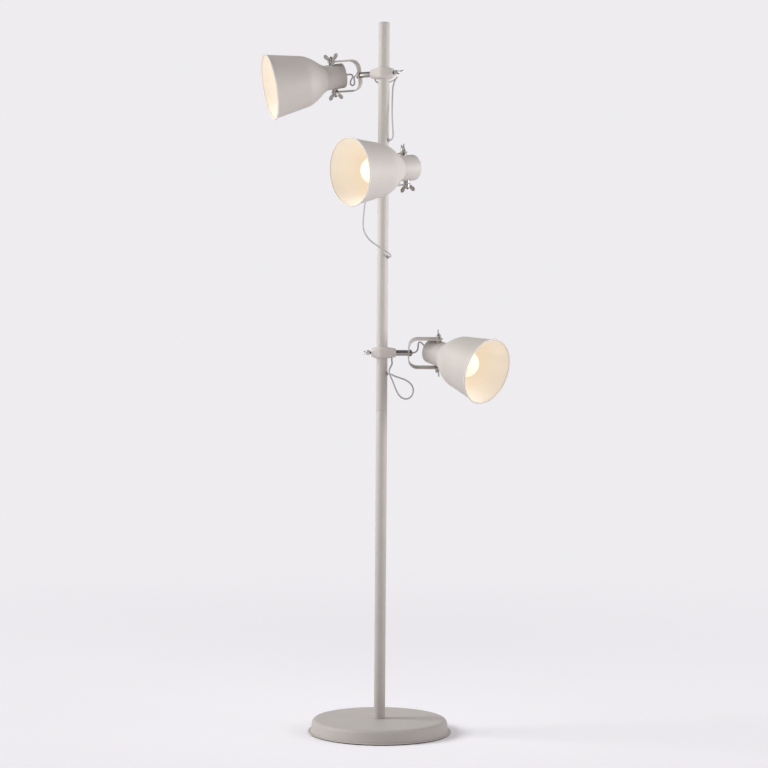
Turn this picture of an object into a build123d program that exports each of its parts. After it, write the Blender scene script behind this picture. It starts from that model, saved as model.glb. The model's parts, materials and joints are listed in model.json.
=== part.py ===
from build123d import *
from math import cos, pi, radians, sin, tan
import os

# Tree floor lamp: a weighted round base, one pole and three clamped shades.
# The origin is on the floor at the pole's axis, +Z is up and -Y faces the viewer.
# All sizes are in millimetres and all angles in degrees.

# ---- driving dimensions: pole and base ----
lamp_height = 1591.0          # floor to the top of the pole's cap
pole_radius = 12.5
pole_wall = 1.5
cap_dome = 3.0                # how far the cap stands above the tube
cap_plug = 14.0               # how deep the cap sits in the tube
cap_wall = 2.0
cap_rounding = 2.6
foot_band = 9.0               # visible ring between the base and the tube
foot_spigot = 30.0            # how deep the foot sits in the tube
joint_reach = 32.0            # of the sleeve that joins the pole's two tubes, into each
joint_wall = 2.5
seam_gap = 0.3                # the fine line between the two tubes

base_radius = 160.0           # over the flange
base_height = 31.0            # floor to the top of the cover
cover_sheet = 1.2
flange_width = 6.0
wall_taper = 3.7              # how far the cover's wall leans in
cover_shoulder = 10.0
pad_thickness = 2.0
pad_inset = 2.0               # how far the pad stays inside the flange
weight_thickness = 10.0
weight_margin = 5.0           # between the weight and the cover's wall
boss_radius = 28.0
stud_radius = 8.0             # threaded tube that holds the pole on the base
stud_bore = 4.0
stud_end = 1.0                # how far it shows under its nut
nut_across_flats = 24.0
nut_height = 6.0
nut_recess_radius = 17.0
nut_recess_depth = 15.0
boss_sink = 0.5               # how far a boss, neck or shank is sunk into what carries it
channel_width = 7.0
channel_height = 7.0
inlet_room = 35.0             # length of the notch in the weight for the mains inlet
weight_edge = 3.0
pad_edge = 0.4
gland_height = 14.0           # of the mains inlet, above the floor
gland_bore = 3.0
gland_radius = 5.0
gland_flange = 8.0
gland_face = 7.0              # radius of its outer flange
gland_taper = 12.0
gland_lip = 3.0               # thickness of its flanges, inside and outside
gland_grip = 5.0              # how far it reaches inside the cover
gland_step = 1.0              # between the cover's wall and its outer flange

# ---- driving dimensions: leads and what they pass through ----
lead_diameter = 3.6
arc_share = 0.45              # of the shorter run beside a corner that its arc takes
supply_diameter = 5.0
lead_hole_drops = {"top": 150.5, "middle": 186.5, "lower": 47.0}   # below each clamp
seam_drop = 83.5              # from the lowest lead hole to the seam of the pole's tubes
lead_hole_angle = -28.0       # round the pole, from +X
grommet_bore = 2.0
grommet_neck = 3.4
grommet_flange = 4.5
grommet_lip = 1.6             # how far the grommet stands off the pole
grommet_catch = 4.3           # its barb inside the tube
grommet_reach = 2.0           # how far it reaches inside the tube
inner_lead_pitch = 4.8        # between the leads that run down inside the pole
inner_lead_bend = 5.0
inner_lead_shift = 1.2        # the three leads stand this far off the middle, away from the holes
supply_rise = 0.8             # between the floor pad and the supply lead
supply_climb = 34.0           # from the inlet to where the supply lead starts to climb
supply_straight = 12.0        # its level run behind the inlet
terminal_height = 25.0
terminal_edge = 0.6

# ---- driving dimensions: clamp, stem and bracket ----
collar_radius = 18.5
collar_height = 25.0
collar_bevel = 0.8
barrel_radius = 11.25
barrel_front = 31.0           # from the pole's axis to the barrel's stem end
barrel_back = 24.0            # from the pole's axis to the barrel's screw end
barrel_bevel = 1.8
stem_radius = 6.5
stem_bore = 3.0
stem_seat = 14.0              # where the stem starts, from the pole's axis
lead_exit = 22.0              # where the lead enters the barrel, from the pole's axis
lead_exit_radius = 2.6
bracket_back = 59.0           # from the pole's axis to the bracket's outer back face
bracket_strip = 2.0
bracket_width = 19.0
bracket_gap = 66.5            # between the arms' inner faces
bracket_corner = 21.0
nipple_radius = 5.0
nipple_bore = 2.3
nipple_bevel = 0.6
stem_web = 3.0                # solid end of the stem, which only the nipple's bore goes through
stem_nut_radius = 7.25
stem_nut_height = 5.5
nipple_end = 1.5              # how far the nipple shows past its nut
pivot_distance = 126.0        # from the pole's axis to the shade's hinge

# ---- driving dimensions: screws ----
screw_radius = 3.0
hub_radius = 6.0
hub_height = 8.0
wing_thickness = 2.0
# a wing's root and its leaf's middle, as distances from the screw's axis and from the seat
wing_root = [(3.0, 0.8), (7.6, 1.8), (14.3, 7.9), (8.1, 13.1), (3.0, 7.6)]
leaf_middle = (11.3, 10.9)
leaf_width = 6.4              # half the long way of a wing's leaf
leaf_height = 9.0             # the short way across the leaf
leaf_angle = 52.0
hub_taper = 9.0
screw_neck = 3.5              # bare shank between the barrel and the wing screw's hub
stud_shoulder = 7.0
stud_head = 5.5
stud_head_drop = 4.0          # from the cup's inner wall to the stud's inner end
stud_head_height = 3.3
stud_show = 3.0               # how far the stud shows past its wing nut

# ---- driving dimensions: shade and cup ----
mouth_distance = 150.5        # from the hinge to the mouth
mouth_radius = 74.5
rim_bead = 1.75
shade_wall = 1.0
flank_end = 84.0              # the straight flank runs from the mouth to here
flank_radius = 60.3
bell_shoulder = [(66.0, 56.8), (52.0, 50.6), (41.0, 43.4), (31.0, 35.4), (24.0, 30.6)]
neck_distance = 17.5          # from the hinge to the seam of shade and cup
neck_collar = 1.5             # straight stretch of the neck
neck_hole = 20.0
neck_radius = 28.3
cup_radius = 28.0
cup_wall = 1.2
cup_back = 26.0               # from the hinge to the cup's rear face
cup_edge = 5.0
holder_radius = 19.0
holder_shoulder = 23.5
holder_back = -15.0
holder_front = 34.0
holder_bore = 13.7
holder_floor = 4.0            # from the hinge to the bottom of the holder's bore
holder_shoulder_height = 3.0
holder_fit = 0.4              # between the holder's sleeve and the shade's neck
ring_radius = 25.5
ring_height = 5.0
bulb_radius = 30.0
bulb_centre = 84.0            # from the hinge to the middle of the bulb
bulb_cap = 13.2
bulb_neck_angle = 50.0        # where the globe ends and its neck starts, from the axis
bulb_collar = 1.5             # how far the glass stands outside the cap
cap_contact = 5.0             # from the hinge to the cap's tip
cap_tip = 5.0                 # radius of the tip
cap_shell = 9.0               # from the hinge to where the cap's shell starts
cap_show = 1.0                # how far the cap shows out of the holder
cap_sheet = 1.0
glass = 1.0
bush_bore = 2.0
bush_neck = 4.0
bush_flange = 6.0
bush_length = 6.0
bush_tip = 1.4                # wall of the bush at its tip
bush_lip = 2.0                # thickness of its inner flange

# ---- named clearances ----
slide_fit = 0.08              # radial, of what turns or slides on a shaft
seat_fit = 0.1                # between parts that are screwed or pushed together
lay = 0.3                     # between curved faces that lie on each other
face_fit = 0.05               # between faces of one body that lie on each other

# ---- where the photographed lamp's heads stand ----
# drop of the clamp from the top of the pole, swing of the stem round the pole, roll of the bracket on
# the stem, tilt of the shade in the bracket, and how its three wings are turned
heads = {
    "top": {"drop": 115.0, "swing": 155.5, "roll": 18.0, "tilt": 39.5, "wings": (25, 38, 34)},
    "middle": {"drop": 340.5, "swing": -67.7, "roll": -7.6, "tilt": -75.8, "wings": (20, -12, 50)},
    "lower": {"drop": 741.0, "swing": 2.5, "roll": -22.0, "tilt": -47.5, "wings": (10, -86, -80)},
}

# ---- routes of the leads, chosen by hand from the photograph; heights are from the clamp's centre ----
# from the hole in the pole to the run where the clamp's half of the lead starts
pole_routes = {
    "top": [
        (10.15, -5.4, -150.5), (17.22, -9.16, -150.5), (21.8, -11.8, -144.1), (21.4, -13.4, -131.5),
        (19.6, -13.2, -108.5), (18.8, -10.8, -84.5), (19.25, -7.0, -63.9),
    ],
    "middle": [
        (10.15, -5.4, -186.5), (17.22, -9.16, -186.5), (19.0, -16.4, -182.9), (12.2, -22.8, -177.3),
        (-1.0, -24.6, -169.9), (-14.5, -27.0, -160.9), (-28.5, -31.0, -151.5), (-38.6, -35.0, -138.9),
        (-44.6, -39.0, -122.9), (-43.5, -41.9, -106.7),
    ],
    "lower": [
        (10.15, -5.4, -47.0), (18.98, -10.1, -47.0), (28.4, -12.6, -52.4), (39.8, -13.4, -56.0),
        (51.6, -14.0, -60.0), (62.4, -14.6, -66.4), (69.8, -16.0, -76.4), (70.6, -17.6, -88.4),
        (65.6, -19.0, -98.4), (57.0, -20.0, -103.8), (50.8, -20.6, -102.6),
    ],
}
# from that run to the hole under the clamp's barrel
clamp_routes = {
    "top": [
        (19.25, -7.0, -63.9), (19.7, -3.2, -43.3), (21.0, 3.4, -26.9), (24.8, 10.4, -14.3),
        (29.4, 16.4, -6.1), (30.4, 24.4, -3.9), (25.6, 30.2, -8.3), (16.0, 30.4, -13.3),
        (4.4, 26.8, -16.3), (-7.4, 21.4, -17.9), (-16.4, 14.4, -17.7), (-20.02, 9.12, -13.9),
        (-20.02, 9.12, -8.9),
    ],
    "middle": [
        (-43.5, -41.9, -106.7), (-42.4, -44.8, -90.5), (-40.4, -44.4, -72.5), (-36.6, -41.0, -54.5),
        (-28.0, -35.6, -39.5), (-16.2, -29.6, -29.5), (-4.4, -24.6, -24.9), (4.6, -21.2, -20.7),
        (8.35, -20.35, -14.5), (8.35, -20.35, -8.9),
    ],
    "lower": [
        (50.8, -20.6, -102.6), (44.6, -21.2, -101.4), (36.4, -21.8, -92.4), (30.4, -22.2, -80.0),
        (25.6, -22.2, -67.0), (20.4, -21.6, -55.4), (15.8, -19.8, -46.0), (16.2, -15.4, -37.4),
        (20.4, -8.6, -30.6), (23.2, -2.2, -23.6), (21.98, 0.96, -15.4), (21.98, 0.96, -9.0),
    ],
}
# from the bore of the stem to the bush in the back of the cup
head_routes = {
    "top": [
        (-58.69, 26.75, 0.0), (-64.6, 29.44, 0.0), (-68.2, 31.2, -4.7), (-66.6, 32.6, -11.7),
        (-66.2, 36.0, -18.3), (-70.8, 40.2, -21.7), (-76.0, 43.8, -17.7), (-75.6, 47.2, -9.7),
        (-71.8, 51.6, -2.5), (-70.4, 57.0, 3.9), (-74.8, 61.2, 8.1), (-81.0, 60.4, 7.2),
        (-89.16, 58.5, 5.2),
    ],
    "middle": [
        (24.29, -59.21, 0.0), (28.08, -68.46, 0.0), (34.6, -73.9, -4.5), (45.2, -73.8, -8.5),
        (57.0, -72.4, -7.5), (68.8, -75.2, -2.9), (78.0, -82.0, 2.1), (80.13, -92.56, 5.21),
        (69.3, -100.6, 3.46),
    ],
    "lower": [
        (63.94, 2.79, 0.0), (74.0, 3.23, 0.0), (80.4, 5.6, 7.4), (81.2, 11.4, 17.4),
        (82.0, 20.2, 25.2), (87.6, 29.2, 25.0), (94.4, 33.4, 18.4), (99.1, 30.32, 10.49),
        (106.85, 23.14, 7.46),
    ],
}

# ---- derived sizes ----
pole_bore = pole_radius - pole_wall
tube_foot = base_height + foot_band
tube_top = lamp_height - cap_dome
cover_inside = base_height - cover_sheet
weight_top = pad_thickness + weight_thickness
wall_radius = base_radius - flange_width
nut_seat = pad_thickness + nut_recess_depth
arm_face = bracket_gap / 2 + bracket_strip
stem_nut_face = bracket_back + bracket_strip + seat_fit
cup_inner = cup_radius - cup_wall
clamp_heights = {place: lamp_height - head["drop"] for place, head in heads.items()}
lead_hole_heights = {place: clamp_heights[place] - drop for place, drop in lead_hole_drops.items()}
pole_seam = min(lead_hole_heights.values()) - seam_drop
lead_hole_direction = Vector(cos(radians(lead_hole_angle)), sin(radians(lead_hole_angle)), 0)
lead_joint = pole_bore + 0.5  # where a lead meets its inner run, from the pole's axis

os.makedirs("parts", exist_ok=True)


def save(builder, node):
    """Label one finished piece and write it."""
    builder.part.label = node
    export_step(builder.part, f"parts/{node}.step")


# ---- directions and planes of a head ----
def stem_direction(head):
    return Vector(cos(radians(head["swing"])), sin(radians(head["swing"])), 0)


def hinge_direction(head):
    side = Vector(0, 0, 1).cross(stem_direction(head))
    return Vector(0, 0, 1) * cos(radians(head["roll"])) + side * sin(radians(head["roll"]))


def shade_direction(head):
    along = stem_direction(head)
    across = hinge_direction(head).cross(along)
    return along * cos(radians(head["tilt"])) + across * sin(radians(head["tilt"]))


def clamp_centre(head):
    return Vector(0, 0, lamp_height - head["drop"])


def pivot_point(head):
    return clamp_centre(head) + stem_direction(head) * pivot_distance


def stem_plane(head, distance):
    """Across the stem, at a distance from the pole's axis; its X is level."""
    along = stem_direction(head)
    return Plane(clamp_centre(head) + along * distance, x_dir=Vector(0, 0, 1).cross(along), z_dir=along)


def bracket_plane(head):
    """X along the stem and Y along the hinge, with the origin on the pole's axis."""
    along = stem_direction(head)
    return Plane(clamp_centre(head), x_dir=along, z_dir=along.cross(hinge_direction(head)))


def shade_plane(head):
    """X along the shade's axis, out of its mouth, and Y along the hinge, with the origin on the hinge."""
    axis = shade_direction(head)
    return Plane(pivot_point(head), x_dir=axis, z_dir=axis.cross(hinge_direction(head)))


def shade_axis(head):
    return Axis(pivot_point(head), shade_direction(head))


# ---- base and pole ----
def make_base_cover():
    outer = [
        (base_radius, pad_thickness + cover_sheet),
        (wall_radius, pad_thickness + cover_sheet),
        (wall_radius - wall_taper, base_height),
        (stud_radius + seat_fit, base_height),
    ]
    inner = [
        (base_radius, pad_thickness),
        (wall_radius - cover_sheet, pad_thickness),
        (wall_radius - wall_taper - cover_sheet, cover_inside),
        (stud_radius + seat_fit, cover_inside),
    ]
    with BuildPart() as cover:
        with BuildSketch(Plane.XZ):
            with BuildLine():
                top = FilletPolyline(outer, radius=[1.0, cover_shoulder])
                under = FilletPolyline(inner, radius=[1.0 + cover_sheet, cover_shoulder - cover_sheet])
                Line(top @ 0, under @ 0)
                Line(top @ 1, under @ 1)
            make_face()
        revolve(axis=Axis.Z)
        # hole for the mains inlet at the back
        with BuildSketch(Plane.XZ.offset(-wall_radius)):
            with Locations((0, gland_height)):
                Circle(gland_radius + seat_fit)
        extrude(amount=2 * gland_grip, mode=Mode.SUBTRACT)
    save(cover, "base_cover")


def make_base_pad():
    with BuildPart() as pad:
        with BuildSketch():
            Circle(base_radius - pad_inset)
        extrude(amount=pad_thickness)
        chamfer(pad.edges(), pad_edge)
    save(pad, "base_pad")


def make_base_weight():
    weight_radius = wall_radius - wall_taper - cover_sheet - weight_margin
    channel_end = weight_radius - inlet_room
    with BuildPart() as weight:
        with BuildSketch(Plane.XY.offset(pad_thickness)):
            Circle(weight_radius)
        extrude(amount=weight_thickness)
        fillet(weight.edges().group_by(Axis.Z)[-1], weight_edge)
        with BuildSketch(Plane.XY.offset(weight_top - boss_sink)):
            Circle(boss_radius)
        extrude(amount=cover_inside - weight_top + boss_sink)
        # recess for the nut, bore for the threaded tube, channel for the supply lead
        with BuildSketch(Plane.XY.offset(pad_thickness)):
            Circle(nut_recess_radius)
        extrude(amount=nut_recess_depth, mode=Mode.SUBTRACT)
        with BuildSketch(Plane.XY.offset(pad_thickness)):
            Circle(stud_radius + seat_fit)
        extrude(amount=base_height, mode=Mode.SUBTRACT)
        with BuildSketch(Plane.XY.offset(pad_thickness)):
            Rectangle(channel_width, weight_radius, align=(Align.CENTER, Align.MIN))
        extrude(amount=channel_height, mode=Mode.SUBTRACT)
        with BuildSketch(Plane.XY.offset(pad_thickness)):
            with Locations((0, channel_end)):
                Rectangle(2 * gland_flange + gland_lip, weight_radius, align=(Align.CENTER, Align.MIN))
        extrude(amount=base_height, mode=Mode.SUBTRACT)
    save(weight, "base_weight")


def make_pole_foot():
    with BuildPart() as foot:
        with BuildSketch(Plane.XY.offset(nut_seat - nut_height - stud_end)):
            Circle(stud_radius)
        extrude(amount=base_height - nut_seat + nut_height + stud_end + boss_sink)
        with BuildSketch(Plane.XY.offset(base_height)):
            Circle(pole_radius)
        extrude(amount=foot_band)
        with BuildSketch(Plane.XY.offset(tube_foot - boss_sink)):
            Circle(pole_bore - slide_fit)
        extrude(amount=foot_spigot + boss_sink)
        with BuildSketch():
            Circle(stud_bore)
        extrude(amount=tube_foot + foot_spigot, mode=Mode.SUBTRACT)
    save(foot, "pole_foot")


def make_foot_nut():
    with BuildPart() as nut:
        with BuildSketch(Plane.XY.offset(nut_seat - nut_height)):
            RegularPolygon(nut_across_flats / 2, 6, major_radius=False)
            Circle(stud_radius + seat_fit, mode=Mode.SUBTRACT)
        extrude(amount=nut_height)
    save(nut, "foot_nut")


def make_pole():
    lower_tube = (tube_foot, pole_seam - seam_gap / 2)
    upper_tube = (pole_seam + seam_gap / 2, tube_top)
    with BuildPart() as pole:
        for foot, head in (lower_tube, upper_tube):
            with BuildSketch(Plane.XY.offset(foot)):
                Circle(pole_radius)
                Circle(pole_bore, mode=Mode.SUBTRACT)
            extrude(amount=head - foot)
        for height in lead_hole_heights.values():
            with BuildSketch(Plane((0, 0, height), z_dir=lead_hole_direction)):
                Circle(grommet_neck + seat_fit)
            extrude(amount=2 * pole_radius, mode=Mode.SUBTRACT)
    save(pole, "pole")


def make_pole_joint():
    """The sleeve inside both tubes at their seam; the leads run through it."""
    with BuildPart() as joint:
        with BuildSketch(Plane.XY.offset(pole_seam - joint_reach)):
            Circle(pole_bore - slide_fit)
            Circle(pole_bore - joint_wall, mode=Mode.SUBTRACT)
        extrude(amount=2 * joint_reach)
    save(joint, "pole_joint")


def make_pole_cap():
    with BuildPart() as cap:
        with BuildSketch(Plane.XY.offset(tube_top - cap_plug)):
            Circle(pole_bore - slide_fit)
            Circle(pole_bore - slide_fit - cap_wall, mode=Mode.SUBTRACT)
        extrude(amount=cap_plug + boss_sink)
        with BuildSketch(Plane.XY.offset(tube_top)):
            Circle(pole_radius)
        extrude(amount=cap_dome)
        fillet(cap.edges().group_by(Axis.Z)[-1], cap_rounding)
    save(cap, "pole_cap")


def make_grommets():
    with BuildPart() as grommets:
        for height in lead_hole_heights.values():
            face = Plane((0, 0, height), z_dir=lead_hole_direction)
            with BuildSketch(face.offset(pole_bore)):
                Circle(grommet_flange)
            extrude(amount=pole_wall + grommet_lip)
        with BuildSketch():
            Circle(pole_radius + face_fit)
        extrude(amount=lamp_height, mode=Mode.SUBTRACT)
        for height in lead_hole_heights.values():
            face = Plane((0, 0, height), z_dir=lead_hole_direction)
            with BuildSketch(face.offset(pole_bore - grommet_reach)):
                Circle(grommet_catch)
            extrude(amount=grommet_reach / 2)
            with BuildSketch(face.offset(pole_bore - grommet_reach + boss_sink)):
                Circle(grommet_neck)
            extrude(amount=grommet_reach + pole_wall + grommet_lip - 2 * boss_sink)
            with BuildSketch(face):
                Circle(grommet_bore)
            extrude(amount=2 * pole_radius, mode=Mode.SUBTRACT)
    save(grommets, "pole_grommets")


def make_cable_gland():
    """The inlet for the mains lead; gives back where its inner end is."""
    wall_y = wall_radius - wall_taper * (gland_height - pad_thickness) / (base_height - pad_thickness)
    inner_end = wall_y - cover_sheet - gland_grip
    outer_face = wall_y + gland_step
    length = outer_face + gland_lip - inner_end

    def across(y):
        return Plane((0, y, gland_height), z_dir=(0, 1, 0))

    with BuildPart() as gland:
        with BuildSketch(across(inner_end)):
            Circle(gland_flange)
        extrude(amount=gland_lip)
        with BuildSketch(across(inner_end)):
            Circle(gland_radius)
        extrude(amount=length - boss_sink)
        with BuildSketch(across(outer_face)):
            Circle(gland_face)
        extrude(amount=gland_lip, taper=gland_taper)
        with BuildSketch(across(inner_end)):
            Circle(gland_bore)
        extrude(amount=length, mode=Mode.SUBTRACT)
    save(gland, "cable_gland")
    return inner_end


def make_terminal_block():
    with BuildPart() as block:
        with BuildSketch(Plane.XY.offset(tube_foot + foot_spigot)):
            Circle(pole_bore - lay)
        extrude(amount=terminal_height)
        chamfer(block.edges(), terminal_edge)
    save(block, "terminal_block")


# ---- leads ----
def corner_radii(points):
    """Each arc is as large as its two runs allow."""
    radii = []
    for before, corner, after in zip(points, points[1:], points[2:]):
        arriving = Vector(corner) - Vector(before)
        leaving = Vector(after) - Vector(corner)
        half_turn = radians(arriving.get_angle(leaving)) / 2
        radii.append(arc_share * min(arriving.length, leaving.length) / tan(half_turn))
    return radii


def sweep_tube(points, radii, diameter):
    """A round tube of straight runs joined by tangent arcs, inside the active part."""
    with BuildLine() as route:
        FilletPolyline(points, radius=radii)
    start = Plane(points[0], z_dir=Vector(points[1]) - Vector(points[0]))
    with BuildSketch(start) as section:
        Circle(diameter / 2)
    sweep(section.sketch, path=route.wires()[0], transition=Transition.RIGHT)
    return route.wires()[0].length


def make_lead(node, route, height):
    points = [(x, y, z + height) for x, y, z in route]
    radii = corner_radii(points)
    with BuildPart() as lead:
        length = sweep_tube(points, radii, lead_diameter)
    expected = pi * (lead_diameter / 2) ** 2 * length
    turns = [
        (Vector(b) - Vector(a)).get_angle(Vector(c) - Vector(b))
        for a, b, c in zip(points, points[1:], points[2:])
    ]
    print(
        f"{node}: length {length:.1f}, volume/expected {lead.part.volume / expected:.4f},",
        "radii", [round(r, 1) for r in radii], "turns", [round(t) for t in turns],
    )
    save(lead, node)


def make_inner_leads(gland_inside):
    """Three leads from their grommets down to the terminal block, and the supply from there to the inlet."""
    block_top = tube_foot + foot_spigot + terminal_height
    block_foot = tube_foot + foot_spigot
    supply_height = pad_thickness + supply_diameter / 2 + supply_rise
    with BuildPart() as leads:
        for place, height in enumerate(lead_hole_heights.values()):
            reach = (place - 1) * inner_lead_pitch - inner_lead_shift
            route = [
                lead_hole_direction * lead_joint + Vector(0, 0, height),
                lead_hole_direction * reach + Vector(0, 0, height),
                lead_hole_direction * reach + Vector(0, 0, block_top),
            ]
            sweep_tube(route, inner_lead_bend, lead_diameter)
        supply = [
            (0, 0, block_foot),
            (0, 0, supply_height),
            (0, gland_inside - supply_climb, supply_height),
            (0, gland_inside - supply_straight, gland_height),
            (0, gland_inside, gland_height),
        ]
        sweep_tube(supply, [supply_diameter] + corner_radii(supply)[1:], supply_diameter)
    save(leads, "inner_leads")


# ---- wings ----
def wing_faces():
    """Both leaves of a wing nut, in a sketch with X along the span and Y up the axis."""
    with BuildSketch(mode=Mode.PRIVATE) as leaf:
        Polygon(wing_root, align=None)
        with Locations(leaf_middle):
            Ellipse(leaf_width, leaf_height / 2, rotation=leaf_angle)
    add(leaf.sketch)
    mirror(leaf.sketch, about=Plane.YZ)


def wing_section(plane):
    """The plane through a wing nut's axis and its span."""
    return Plane(plane.origin, x_dir=plane.x_dir, z_dir=plane.y_dir * -1)


def make_wing_nut(node, plane):
    """The hub stands on the plane, and its wings lie along the plane's X."""
    with BuildPart() as nut:
        with BuildSketch(plane):
            Circle(hub_radius)
        extrude(amount=hub_height, taper=hub_taper)
        with BuildSketch(wing_section(plane)):
            wing_faces()
        extrude(amount=wing_thickness / 2, both=True)
        with BuildSketch(plane):
            Circle(screw_radius + seat_fit)
        extrude(amount=hub_height, mode=Mode.SUBTRACT)
    save(nut, node)


def make_wing_screw(node, plane, reach):
    """As the wing nut, with a shank that runs back from the hub."""
    with BuildPart() as screw:
        with BuildSketch(plane):
            Circle(hub_radius - boss_sink)
        extrude(amount=hub_height, taper=hub_taper)
        with BuildSketch(wing_section(plane)):
            wing_faces()
        extrude(amount=wing_thickness / 2, both=True)
        with BuildSketch(plane.offset(-reach)):
            Circle(screw_radius)
        extrude(amount=reach + boss_sink)
    save(screw, node)


def turned(plane, angle):
    """The same plane turned about its own normal."""
    across = plane.x_dir * cos(radians(angle)) + plane.y_dir * sin(radians(angle))
    return Plane(plane.origin, x_dir=across, z_dir=plane.z_dir)


# ---- one head: clamp, stem and bracket ----
def make_clamp(name, head):
    centre = clamp_centre(head)
    level = Plane(centre, x_dir=stem_direction(head), z_dir=(0, 0, 1))
    with BuildPart() as clamp:
        with BuildSketch(level.offset(-collar_height / 2)):
            Circle(collar_radius)
        extrude(amount=collar_height)
        chamfer(clamp.edges(), collar_bevel)
        with BuildSketch(stem_plane(head, -barrel_back)):
            Circle(barrel_radius)
        extrude(amount=barrel_back + barrel_front)
        chamfer(clamp.edges().filter_by(GeomType.CIRCLE).sort_by(
            lambda edge: (edge.center() - centre).dot(stem_direction(head)))[0], barrel_bevel)
        with BuildSketch(level.offset(-collar_height)):
            Circle(pole_radius + slide_fit)
        extrude(amount=2 * collar_height, mode=Mode.SUBTRACT)
        with BuildSketch(stem_plane(head, stem_seat)):
            Circle(stem_radius + seat_fit)
        extrude(amount=barrel_front, mode=Mode.SUBTRACT)
        with BuildSketch(stem_plane(head, -barrel_back)):
            Circle(screw_radius + seat_fit)
        extrude(amount=barrel_back, mode=Mode.SUBTRACT)
        with BuildSketch(level):
            with Locations((lead_exit, 0)):
                Circle(lead_exit_radius)
        extrude(amount=-collar_height, mode=Mode.SUBTRACT)
    save(clamp, f"{name}_clamp")


def make_clamp_screw(name, head):
    behind = stem_direction(head) * -1
    hub = Plane(
        clamp_centre(head) + behind * (barrel_back + screw_neck),
        x_dir=Vector(0, 0, 1).cross(behind), z_dir=behind,
    )
    reach = barrel_back + screw_neck - pole_radius - lay
    make_wing_screw(f"{name}_clamp_screw", turned(hub, head["wings"][0]), reach)


def make_stem(name, head):
    nipple = bracket_strip + seat_fit + stem_nut_height + nipple_end
    with BuildPart() as stem:
        with BuildSketch(stem_plane(head, stem_seat)):
            Circle(stem_radius)
        extrude(amount=bracket_back - stem_seat)
        with BuildSketch(stem_plane(head, bracket_back - boss_sink)):
            Circle(nipple_radius)
        extrude(amount=nipple + boss_sink)
        chamfer(stem.faces().sort_by(
            lambda face: face.center().dot(stem_direction(head)))[-1].edges(), nipple_bevel)
        with BuildSketch(stem_plane(head, stem_seat)):
            Circle(stem_bore)
        extrude(amount=bracket_back - stem_seat - stem_web, mode=Mode.SUBTRACT)
        with BuildSketch(stem_plane(head, stem_seat)):
            Circle(nipple_bore)
        extrude(amount=bracket_back, mode=Mode.SUBTRACT)
        with BuildSketch(Plane(clamp_centre(head), x_dir=stem_direction(head), z_dir=(0, 0, 1))):
            with Locations((lead_exit, 0)):
                Circle(lead_exit_radius)
        extrude(amount=-collar_height, mode=Mode.SUBTRACT)
    save(stem, f"{name}_stem")


def make_stem_nut(name, head):
    with BuildPart() as nut:
        with BuildSketch(stem_plane(head, stem_nut_face)):
            RegularPolygon(stem_nut_radius, 6)
            Circle(nipple_radius + slide_fit, mode=Mode.SUBTRACT)
        extrude(amount=stem_nut_height)
    save(nut, f"{name}_stem_nut")


def make_bracket(name, head):
    section = bracket_plane(head)
    hinge_plane = Plane(clamp_centre(head), x_dir=stem_direction(head), z_dir=hinge_direction(head))
    arm_end = pivot_distance + bracket_width / 2
    inner = bracket_gap / 2
    with BuildPart() as bracket:
        with BuildSketch(section):
            with BuildLine():
                outside = FilletPolyline(
                    (arm_end, arm_face), (bracket_back, arm_face),
                    (bracket_back, -arm_face), (arm_end, -arm_face), radius=bracket_corner,
                )
                inside = FilletPolyline(
                    (arm_end, inner), (bracket_back + bracket_strip, inner),
                    (bracket_back + bracket_strip, -inner), (arm_end, -inner),
                    radius=bracket_corner - bracket_strip,
                )
                Line(outside @ 0, inside @ 0)
                Line(outside @ 1, inside @ 1)
            make_face()
        extrude(amount=bracket_width / 2, both=True)
        # rounded arm ends
        with BuildSketch(hinge_plane):
            with Locations((pivot_distance, 0)):
                Circle(bracket_width / 2)
            with Locations((bracket_back, 0)):
                Rectangle(pivot_distance - bracket_back, bracket_width, align=(Align.MIN, Align.CENTER))
        extrude(amount=bracket_gap, both=True, mode=Mode.INTERSECT)
        # holes for the pivot studs and for the stem's nipple
        with BuildSketch(hinge_plane):
            with Locations((pivot_distance, 0)):
                Circle(screw_radius + slide_fit)
        extrude(amount=bracket_gap, both=True, mode=Mode.SUBTRACT)
        with BuildSketch(stem_plane(head, bracket_back)):
            Circle(nipple_radius + slide_fit)
        extrude(amount=bracket_strip, mode=Mode.SUBTRACT)
    save(bracket, f"{name}_bracket")


def make_pivot_studs(name, head):
    axis = shade_direction(head)
    with BuildPart() as studs:
        for side in (1, -1):
            outward = hinge_direction(head) * side
            across = Plane(pivot_point(head), x_dir=axis, z_dir=outward)
            with BuildSketch(across.offset(cup_inner)):
                Circle(stud_shoulder)
            extrude(amount=bracket_gap / 2 - seat_fit - cup_inner)
        with BuildSketch(Plane(pivot_point(head), z_dir=axis)):
            Circle(cup_radius + face_fit)
        extrude(amount=2 * stud_shoulder, both=True, mode=Mode.SUBTRACT)
        for side in (1, -1):
            outward = hinge_direction(head) * side
            across = Plane(pivot_point(head), x_dir=axis, z_dir=outward)
            with BuildSketch(across.offset(cup_inner - stud_head_drop)):
                Circle(screw_radius)
            extrude(amount=arm_face + hub_height + stud_show - cup_inner + stud_head_drop)
            with BuildSketch(across.offset(cup_inner - stud_head_drop)):
                Circle(stud_head)
            extrude(amount=stud_head_height)
    save(studs, f"{name}_pivot_studs")


def make_wing_nuts(name, head):
    for word, side, turn in (("upper", 1, head["wings"][1]), ("lower", -1, head["wings"][2])):
        outward = hinge_direction(head) * side
        seat = Plane(
            pivot_point(head) + outward * (arm_face + seat_fit),
            x_dir=stem_direction(head), z_dir=outward,
        )
        make_wing_nut(f"{name}_{word}_wing_nut", turned(seat, turn * side))


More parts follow.
